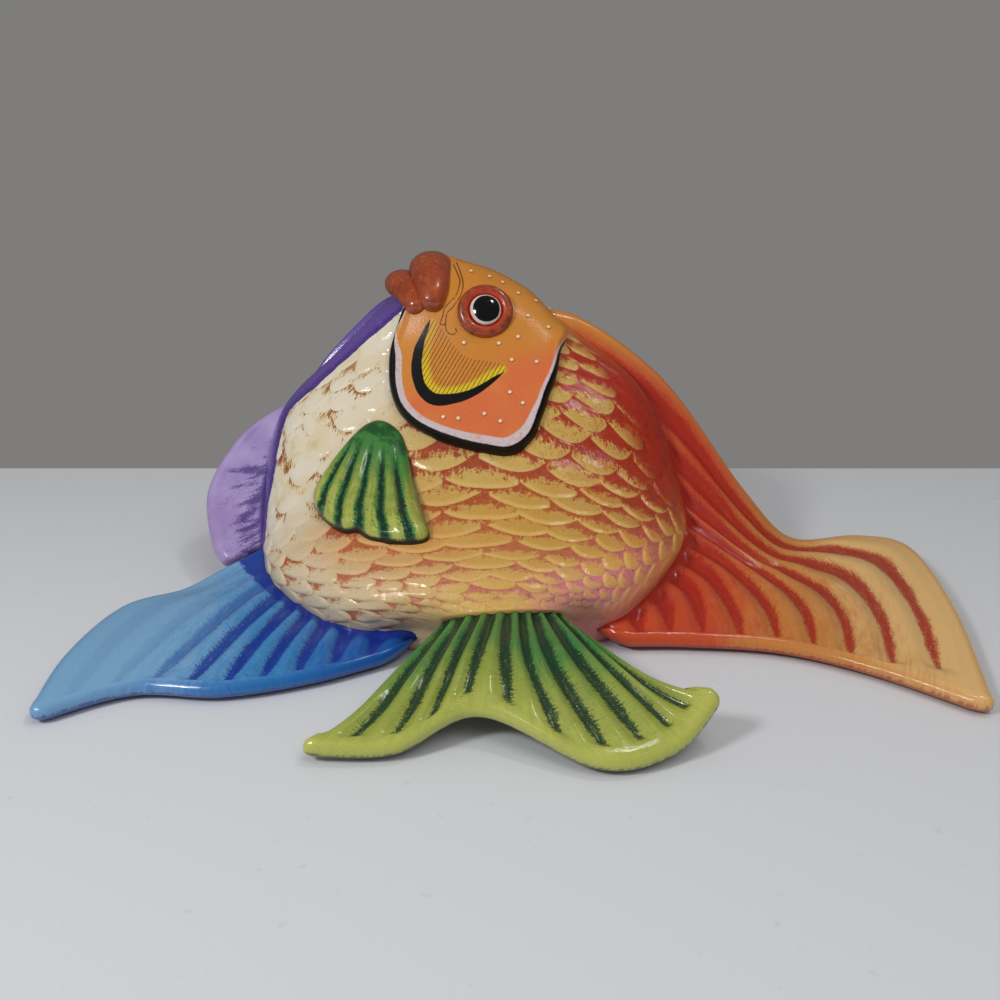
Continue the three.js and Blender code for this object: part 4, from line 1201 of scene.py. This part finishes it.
class FISH_OT_fins(bpy.types.Operator):
    """Dorsal, anal, pelvic and tail fins with pressed ribs"""

    bl_idname = "wallfish.fins"
    bl_label = "Fins"

    ROOT_DEPTH, EDGE_ROUND, CORNER = 2.5, 5.0, 9.0
    # Share by which the columns of points crowd together at the side edges.
    EDGE_CROWDING = 0.35

    def ray_points(self, rays, t):
        """Points of every ray at shares of its length."""
        made = []
        for ray in rays:
            dense = np.linspace(0, 1, 400)
            points = curve_through(ray, dense)
            length = run_length(points)
            place = np.interp(t * length[-1], length, dense)
            made.append((curve_through(ray, place), length[-1]))
        return np.stack([m[0] for m in made]), np.array([m[1] for m in made])

    def sheet(self, rays, s, t):
        """Middle of the fin's thickness, with its corners rounded."""
        _, lengths = self.ray_points(rays, np.zeros(1))
        ray_length = np.interp(s * (len(rays) - 1), np.arange(len(rays)), lengths)
        free = curve_through(np.stack([ray[-1] for ray in rays]), np.linspace(0, 1, 200))
        free_length = np.linalg.norm(np.diff(free, axis=0), axis=1).sum()
        corner = 1 - rounded(np.minimum(s, 1 - s) * free_length, self.CORNER)
        reach = 1 - corner * self.CORNER / np.maximum(ray_length, 2 * self.CORNER)
        points, _ = self.ray_points(rays, t * reach)
        return curve_through(points, s), ray_length

    def roots(self, rays, s, body):
        """Share of each ray's length at which it comes out of the body."""
        t = np.linspace(0, 0.9, 91)
        points, _ = self.sheet(rays, *np.meshgrid(s, t))
        start = np.zeros(len(s))
        for c in range(len(s)):
            for r in range(len(t)):
                spot = Vector(points[r, c] * MM)
                nearest, normal, _, _ = body.find_nearest(spot)
                if (spot - nearest).dot(normal) > -self.ROOT_DEPTH * MM:
                    start[c] = t[r]
                    break
        kernel = np.ones(5) / 5
        return np.minimum(np.convolve(np.pad(start, 2, mode="edge"), kernel, "valid"), 0.9)

    def fin(self, name, rays, thickness, grooved, rim, body, columns=220, rows=130):
        """A fin's slab with a rounded edge, ready for its ribs."""
        even = np.linspace(0, 1, columns)
        across = (1 - np.cos(even * math.pi)) / 2 * self.EDGE_CROWDING + even * (1 - self.EDGE_CROWDING)
        outward = 1 - (1 - np.linspace(0, 1, rows)) ** 1.4
        start = self.roots(rays, across, body)
        s, w = np.meshgrid(across, outward)
        t = start[None] + (1 - start[None]) * w
        middle, ray_length = self.sheet(rays, s, t)
        normal = unit(np.cross(np.gradient(middle, axis=1), np.gradient(middle, axis=0)))
        width = np.linalg.norm(np.diff(middle, axis=1), axis=2).sum(1)[:, None]
        edge = np.minimum(np.minimum(s, 1 - s) * width, (1 - t) * ray_length)
        half = thickness / 2 * rounded(edge, self.EDGE_ROUND)[..., None]
        upper, lower = middle + normal * half, middle - normal * half
        for face in (upper, lower):
            face[..., 2] = np.maximum(face[..., 2], 0)
        return slab_object(name, upper, lower, {
            "across": s, "along": w, "edge_gap": edge, "grooved": grooved(s),
            "root": (t - start[None]) * ray_length - self.ROOT_DEPTH, "rim": (1 - t) * ray_length / rim(s)})

    def execute(self, context):
        sizes, paints = context.scene.fish_sizes, context.scene.fish_paints
        along, degrees = np.linspace(0, 1, 90), np.linspace(0, 360, 120, endpoint=False)
        points = skin(*np.meshgrid(degrees, along)).reshape(-1, 3) * MM
        probe = bmesh.new()
        add_faces(probe, points, tube_faces(len(along), len(degrees)))
        bmesh.ops.recalc_face_normals(probe, faces=probe.faces)
        body = BVHTree.FromBMesh(probe)
        probe.free()
        red = fin_paint(
            "red_fin_paint", DORSAL_RIBS, (paints.coral, paints.amber, paints.peach), paints.red,
            paints.amber, share=(1.0, 0.4), run=(10.0, -5.0, 0.0, -0.62), collar=(3.0, 3.0),
            ridge=(0.05, paints.head))
        blue = fin_paint(
            "blue_fin_paint", ANAL_RIBS, (paints.cobalt, paints.azure, paints.sky), paints.ultramarine,
            paints.cobalt, share=(0.85, 0.6), run=(-10.0, 0.0, 0.0, -0.6), collar=(6.0, 20.0))
        violet = belly_fin_paint(paints)
        green = fin_paint(
            "leaf_fin_paint", TAIL_RIBS, (paints.leaf, paints.olive, paints.lime), paints.pine,
            paints.lime, share=(0.85, 0.55), run=(0.0, 0.0, 1.15, -0.35), collar=(4.0, 4.0))
        # Each fin's rays, thickness and ribs, its rim's width and grooves' depth across it, and its paint.
        fins = (
            ("dorsal_fin", DORSAL_RAYS, 7, DORSAL_RIBS, lambda s: 5 + 9 * smooth(0.25, 0.08, s),
             lambda s: smooth(0.02, 0.07, s), "red_paint", red),
            ("anal_fin", ANAL_RAYS, 7, ANAL_RIBS, lambda s: 5,
             lambda s: 0.12 + 0.88 * smooth(0.85, 0.55, s), "blue_paint", blue),
            ("pelvic_fin", PELVIC_RAYS, 9, PELVIC_RIBS, lambda s: 6,
             lambda s: 0.35 * smooth(0.62, 0.45, s), "violet_paint", violet),
            ("tail_fin", TAIL_RAYS, 8, TAIL_RIBS, lambda s: 7, np.ones_like, "leaf_paint", green),
        )
        tree = rib_tree()
        for node, rays, thickness, ribs, rim, grooved, slot, material in fins:
            made = self.fin(node + "_sheet", rays, thickness, grooved, rim, body)
            run_group(made, tree, {"Ribs": float(ribs), "Depth": sizes.rib_depth, "Paint": material})
            clip_to_box(made)
            keep(made, material, slot, node)
        return {"FINISHED"}


def belly_fin_paint(paints):
    """Lavender lobe with violet streaks at its root, under a purple strip."""
    p = Paintwork("violet_fin_paint", roughness=0.45, varnish=0.5, gloss=0.1, specular=0.3)
    across, root = p.value("across"), p.value("root")
    z = p.split(p.place)[2]
    streaks = p.centred(p.noise(1.0, 4, where=p.vector(across * 34.0, root * 0.07, 0.0)))
    speckle = p.centred(p.noise(1400, 2))
    blot = p.centred(p.noise(70, 3))
    base = p.mix(p.ramp(blot, -0.2, 0.2), paints.lavender, LILAC)
    low = p.ramp(across + blot * 0.2, 0.62, 0.3)
    near = p.ramp(root + blot * 10, 30, 6)
    streaked = p.ramp(near * low * 0.42 + streaks + speckle * 0.5, 0.3, 0.48, 0.0, 0.85)
    base = p.mix(streaked, base, paints.violet)
    strip = p.ramp(z + blot * 0.012 + speckle * 0.008, 0.068, 0.082)
    base = p.mix(strip, base, paints.purple)
    collar = p.ramp(root + speckle * 3.0 + streaks * 6.0, 0.5, 3.0, 0.9, 0.0)
    base = p.mix(collar, base, paints.violet)
    return p.finish(base, streaks + speckle * 0.5, 0.15)


def pectoral_paint(paints):
    """Green pillow with lime ribs, black-green grooves and a dark outline."""
    p = Paintwork("green_fin_paint", roughness=0.4, varnish=0.8, gloss=0.07, specular=0.3)
    across, along = p.value("across"), p.value("along")
    bristles = p.vector(across * 13.0, along * 40.0, 0.0)
    brush = p.centred(p.noise(1.0, 4, where=bristles, roughness=0.75))
    streaks = p.centred(p.noise(1.0, 3, where=p.vector(across * 60.0, along * 5.0, 2.0)))
    speckle = p.centred(p.noise(1500, 3))
    blot = p.centred(p.noise(150, 4))
    wave = p.ridges(across + blot * 0.03, PECTORAL_RIBS * math.pi)
    rough = brush * 1.5 + speckle * 1.1 + streaks
    rib = p.ramp(wave + rough, 0.5, 0.9) * p.ramp(along + brush * 0.5, 0.2, 0.6)
    ribbed = p.mix(rib * 0.85, paints.leaf, paints.olive)
    ribbed = p.mix(rib * p.ramp(along + blot + streaks, 0.45, 1.0) * 0.7, ribbed, paints.lime)
    groove = p.ramp(0.5 - wave + rough, -0.1, 0.2)
    dark = p.mix(groove * p.ramp(along + brush * 0.4, 0.14, 0.4), ribbed, paints.pine)
    top = p.ramp(along + blot * 0.7 + brush * 0.3, 0.06, 0.26, 0.85, 0.0)
    dark = p.mix(top, dark, BOTTLE_GREEN)
    outline = p.ramp(p.value("edge_gap") + speckle * 0.4 + blot * 0.4, 0.7, 0.3)
    return p.finish(p.mix(outline, dark, GREEN_BLACK), brush + speckle, 0.15)


class FISH_OT_pectoral(bpy.types.Operator):
    """Ribbed pectoral fin laid on the flank"""

    bl_idname = "wallfish.pectoral"
    bl_label = "Pectoral fin"

    PROUD, PILLOW_ROUND, RIM, LENGTH = 8.8, 11, 2.5, 60
    BOW, NOTCH = 0.025, 0.014
    ROOT_POWER, TIP_POWER = 8.0, 5.0

    def execute(self, context):
        sizes, paints = context.scene.fish_sizes, context.scene.fish_paints
        x, y = np.meshgrid(np.linspace(-1, 1, 130), np.linspace(-1, 1, 110))
        power = self.ROOT_POWER + (self.TIP_POWER - self.ROOT_POWER) * smooth(-0.3, 0.5, y)
        reach = np.maximum(np.abs(x), np.abs(y)).clip(1e-9)
        shrink = reach / (np.abs(x) ** power + np.abs(y) ** power).clip(1e-30) ** (1 / power)
        s, t = (x * shrink + 1) / 2, (y * shrink + 1) / 2
        root, tip = np.array(PECTORAL_ROOT), np.array(PECTORAL_TIP)
        place = (root[0] + (root[1] - root[0]) * s[..., None]) * (1 - t[..., None])
        place = place + (tip[0] + (tip[1] - tip[0]) * s[..., None]) * t[..., None]
        degrees = place[..., 0]
        along = place[..., 1] - self.BOW * np.sin(math.pi * s) * (2 * t - 1)
        along += self.NOTCH * bell(s, 0.53, 0.06) * smooth(0.75, 1.0, t)
        base = skin(degrees, along)
        rim = np.concatenate([base[0], base[1:, -1], base[-1, -2::-1], base[-2::-1, 0]])
        gap, _ = distance_to(base, rim[::2])
        pillow = rounded(gap, self.PILLOW_ROUND)
        height = self.PROUD * pillow * (0.55 + 0.45 * smooth(0, 0.5, t)) - 0.4
        upper = base + skin_normal(degrees, along) * height[..., None]
        lower = base - skin_normal(degrees, along) * 1.0
        fin = slab_object("pectoral_fin_pillow", upper, lower, {
            "across": s, "along": t, "edge_gap": gap, "grooved": 0.7 * smooth(0.1, 0.4, t),
            "root": self.LENGTH * t, "rim": gap / self.RIM})
        material = pectoral_paint(paints)
        run_group(fin, rib_tree(), {
            "Ribs": float(PECTORAL_RIBS), "Depth": sizes.rib_depth, "Paint": material})
        keep(fin, material, "green_paint", "pectoral_fin")
        return {"FINISHED"}


class FISH_OT_hanger(bpy.types.Operator):
    """Paints for the batten, strap, ring and screws"""

    bl_idname = "wallfish.hanger"
    bl_label = "Hanger"

    def execute(self, context):
        wood = Paintwork("pine_batten", roughness=0.7, varnish=0.0)
        stretched = wood.out("ShaderNodeMapping", {"Vector": wood.place, "Scale": (1, 0.06, 1)})
        grain = wood.noise(420, 5, where=stretched)
        tint = wood.mix(wood.ramp(grain, 0.35, 0.7), PALE_WOOD, WOOD_GRAIN)
        pine = wood.finish(tint, grain, 0.3)
        metal = Paintwork("bright_steel", roughness=0.3, varnish=0.0)
        metal.shader.inputs["Metallic"].default_value = 1.0
        scratch = metal.noise(800, 3)
        steel = metal.finish(metal.mix(scratch, STEEL, DULL_STEEL), scratch, 0.15)
        for name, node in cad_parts.items():
            if name.startswith("hanger"):
                node.data.materials.clear()
                node.data.materials.append(pine if name == "hanger_batten" else steel)
        return {"FINISHED"}


class FISH_OT_stage(bpy.types.Operator):
    """Floor, lamps, background and camera"""

    bl_idname = "wallfish.stage"
    bl_label = "Stage"

    FLOOR_HALF, FLOOR_BACK = 3.0, 0.206
    SKY, MIRRORED_SKY = (1, 0.985, 0.96), 0.3
    AIM = Vector((0, 0, 0.03))
    # Lamps: name, place, width, share of the power, and whether it shows in the varnish.
    LAMPS = (
        ("key_lamp", (-0.6, -0.5, 0.65), 0.18, 0.6, True),
        ("fill_lamp", (0.3, -0.5, 0.8), 0.5, 0.3, False),
        ("top_lamp", (0.3, 0.0, 0.9), 0.08, 0.12, True),
    )
    CAMERA_PLACE, CAMERA_PITCH = (-0.016, -0.404, 0.2), 20
    # Focal length in widths of the picture.
    CAMERA_LENS = 0.981

    def lamp(self, watts, name, place, size, share, mirrored):
        """A square lamp that points at the fish and takes a share of the power."""
        data = bpy.data.lights.new(name, "AREA")
        data.energy = watts * share
        data.size = size
        lamp = bpy.data.objects.new(name, data)
        lamp.location = place
        lamp.rotation_euler = (self.AIM - Vector(place)).to_track_quat("-Z", "Y").to_euler()
        lamp.visible_glossy = mirrored
        bpy.context.scene.collection.objects.link(lamp)

    def execute(self, context):
        scene, settings = context.scene, context.scene.fish_stage
        table = bpy.data.meshes.new("table_top")
        half, back = self.FLOOR_HALF, self.FLOOR_BACK
        corners = [(-half, -half, 0), (half, -half, 0), (half, back, 0), (-half, back, 0)]
        table.from_pydata(corners, [], [(0, 1, 2, 3)])
        floor = bpy.data.objects.new("table_top", table)
        scene.collection.objects.link(floor)
        p = Paintwork("table_top", roughness=0.45, varnish=0.0)
        speck = p.ramp(p.noise(180, 3), 0.66, 0.74, 0, 0.12)
        colour = p.mix(speck, settings.floor, SPECK_GREY)
        table.materials.append(p.finish(colour, p.noise(250, 2), 0.1))
        world = bpy.data.worlds.new("studio")
        scene.world = world
        world.use_nodes = True
        w = Wiring(world.node_tree)
        strength = settings.sky_strength
        light = world.node_tree.nodes["Background"]
        w.put(light.inputs["Color"], self.SKY)
        w.put(light.inputs["Strength"], strength)
        seen = w.out("ShaderNodeBackground", {"Color": settings.backdrop})
        mirrored = w.out("ShaderNodeBackground", {
            "Color": (1, 1, 1), "Strength": strength * self.MIRRORED_SKY})
        in_varnish, to_camera = (
            w.out("ShaderNodeLightPath", output=key) for key in ("Is Glossy Ray", "Is Camera Ray"))
        unseen = w.out("ShaderNodeMixShader", {
            0: in_varnish, 1: Value(w, light.outputs[0]), 2: mirrored})
        pick = w.out("ShaderNodeMixShader", {0: to_camera, 1: unseen, 2: seen})
        w.put(world.node_tree.nodes["World Output"].inputs["Surface"], pick)
        for lamp in self.LAMPS:
            self.lamp(settings.key_watts, *lamp)
        data = bpy.data.cameras.new("photo_camera")
        data.lens = data.sensor_width * self.CAMERA_LENS
        data.clip_start = 0.01
        camera = bpy.data.objects.new("photo_camera", data)
        camera.location = self.CAMERA_PLACE
        camera.rotation_euler = (math.radians(90 - self.CAMERA_PITCH), 0, 0)
        scene.collection.objects.link(camera)
        scene.camera = camera
        scene.view_settings.view_transform = "Standard"
        return {"FINISHED"}


class FISH_PT_panel(bpy.types.Panel):
    """The pieces of the wall fish, in the order they are made"""

    bl_idname = "FISH_PT_panel"
    bl_label = "Wall Fish"
    bl_space_type = "VIEW_3D"
    bl_region_type = "UI"
    bl_category = "Wall Fish"

    def draw(self, context):
        for operator in OPERATORS:
            self.layout.operator(operator.bl_idname)
        for group in (context.scene.fish_sizes, context.scene.fish_paints, context.scene.fish_stage):
            box = self.layout.box()
            for name in group.__annotations__:
                box.prop(group, name)


OPERATORS = (
    FISH_OT_stage, FISH_OT_body, FISH_OT_gill_cover, FISH_OT_head_dots, FISH_OT_eye, FISH_OT_lips,
    FISH_OT_fins, FISH_OT_pectoral, FISH_OT_hanger,
)
GROUPS = {"fish_sizes": FishSizes, "fish_paints": FishPaints, "fish_stage": StageSettings}


def register():
    """Registers the groups, operators and panel."""
    for name, group in GROUPS.items():
        bpy.utils.register_class(group)
        setattr(bpy.types.Scene, name, PointerProperty(type=group))
    for item in (*OPERATORS, FISH_PT_panel):
        bpy.utils.register_class(item)


def unregister():
    """Removes what register added."""
    for item in (FISH_PT_panel, *reversed(OPERATORS)):
        bpy.utils.unregister_class(item)
    for name, group in GROUPS.items():
        delattr(bpy.types.Scene, name)
        bpy.utils.unregister_class(group)


def main():
    """Builds the fish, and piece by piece."""
    register()
    for operator in OPERATORS:
        family, name = operator.bl_idname.split(".")
        getattr(getattr(bpy.ops, family), name)()


if __name__ == "__main__":
    main()
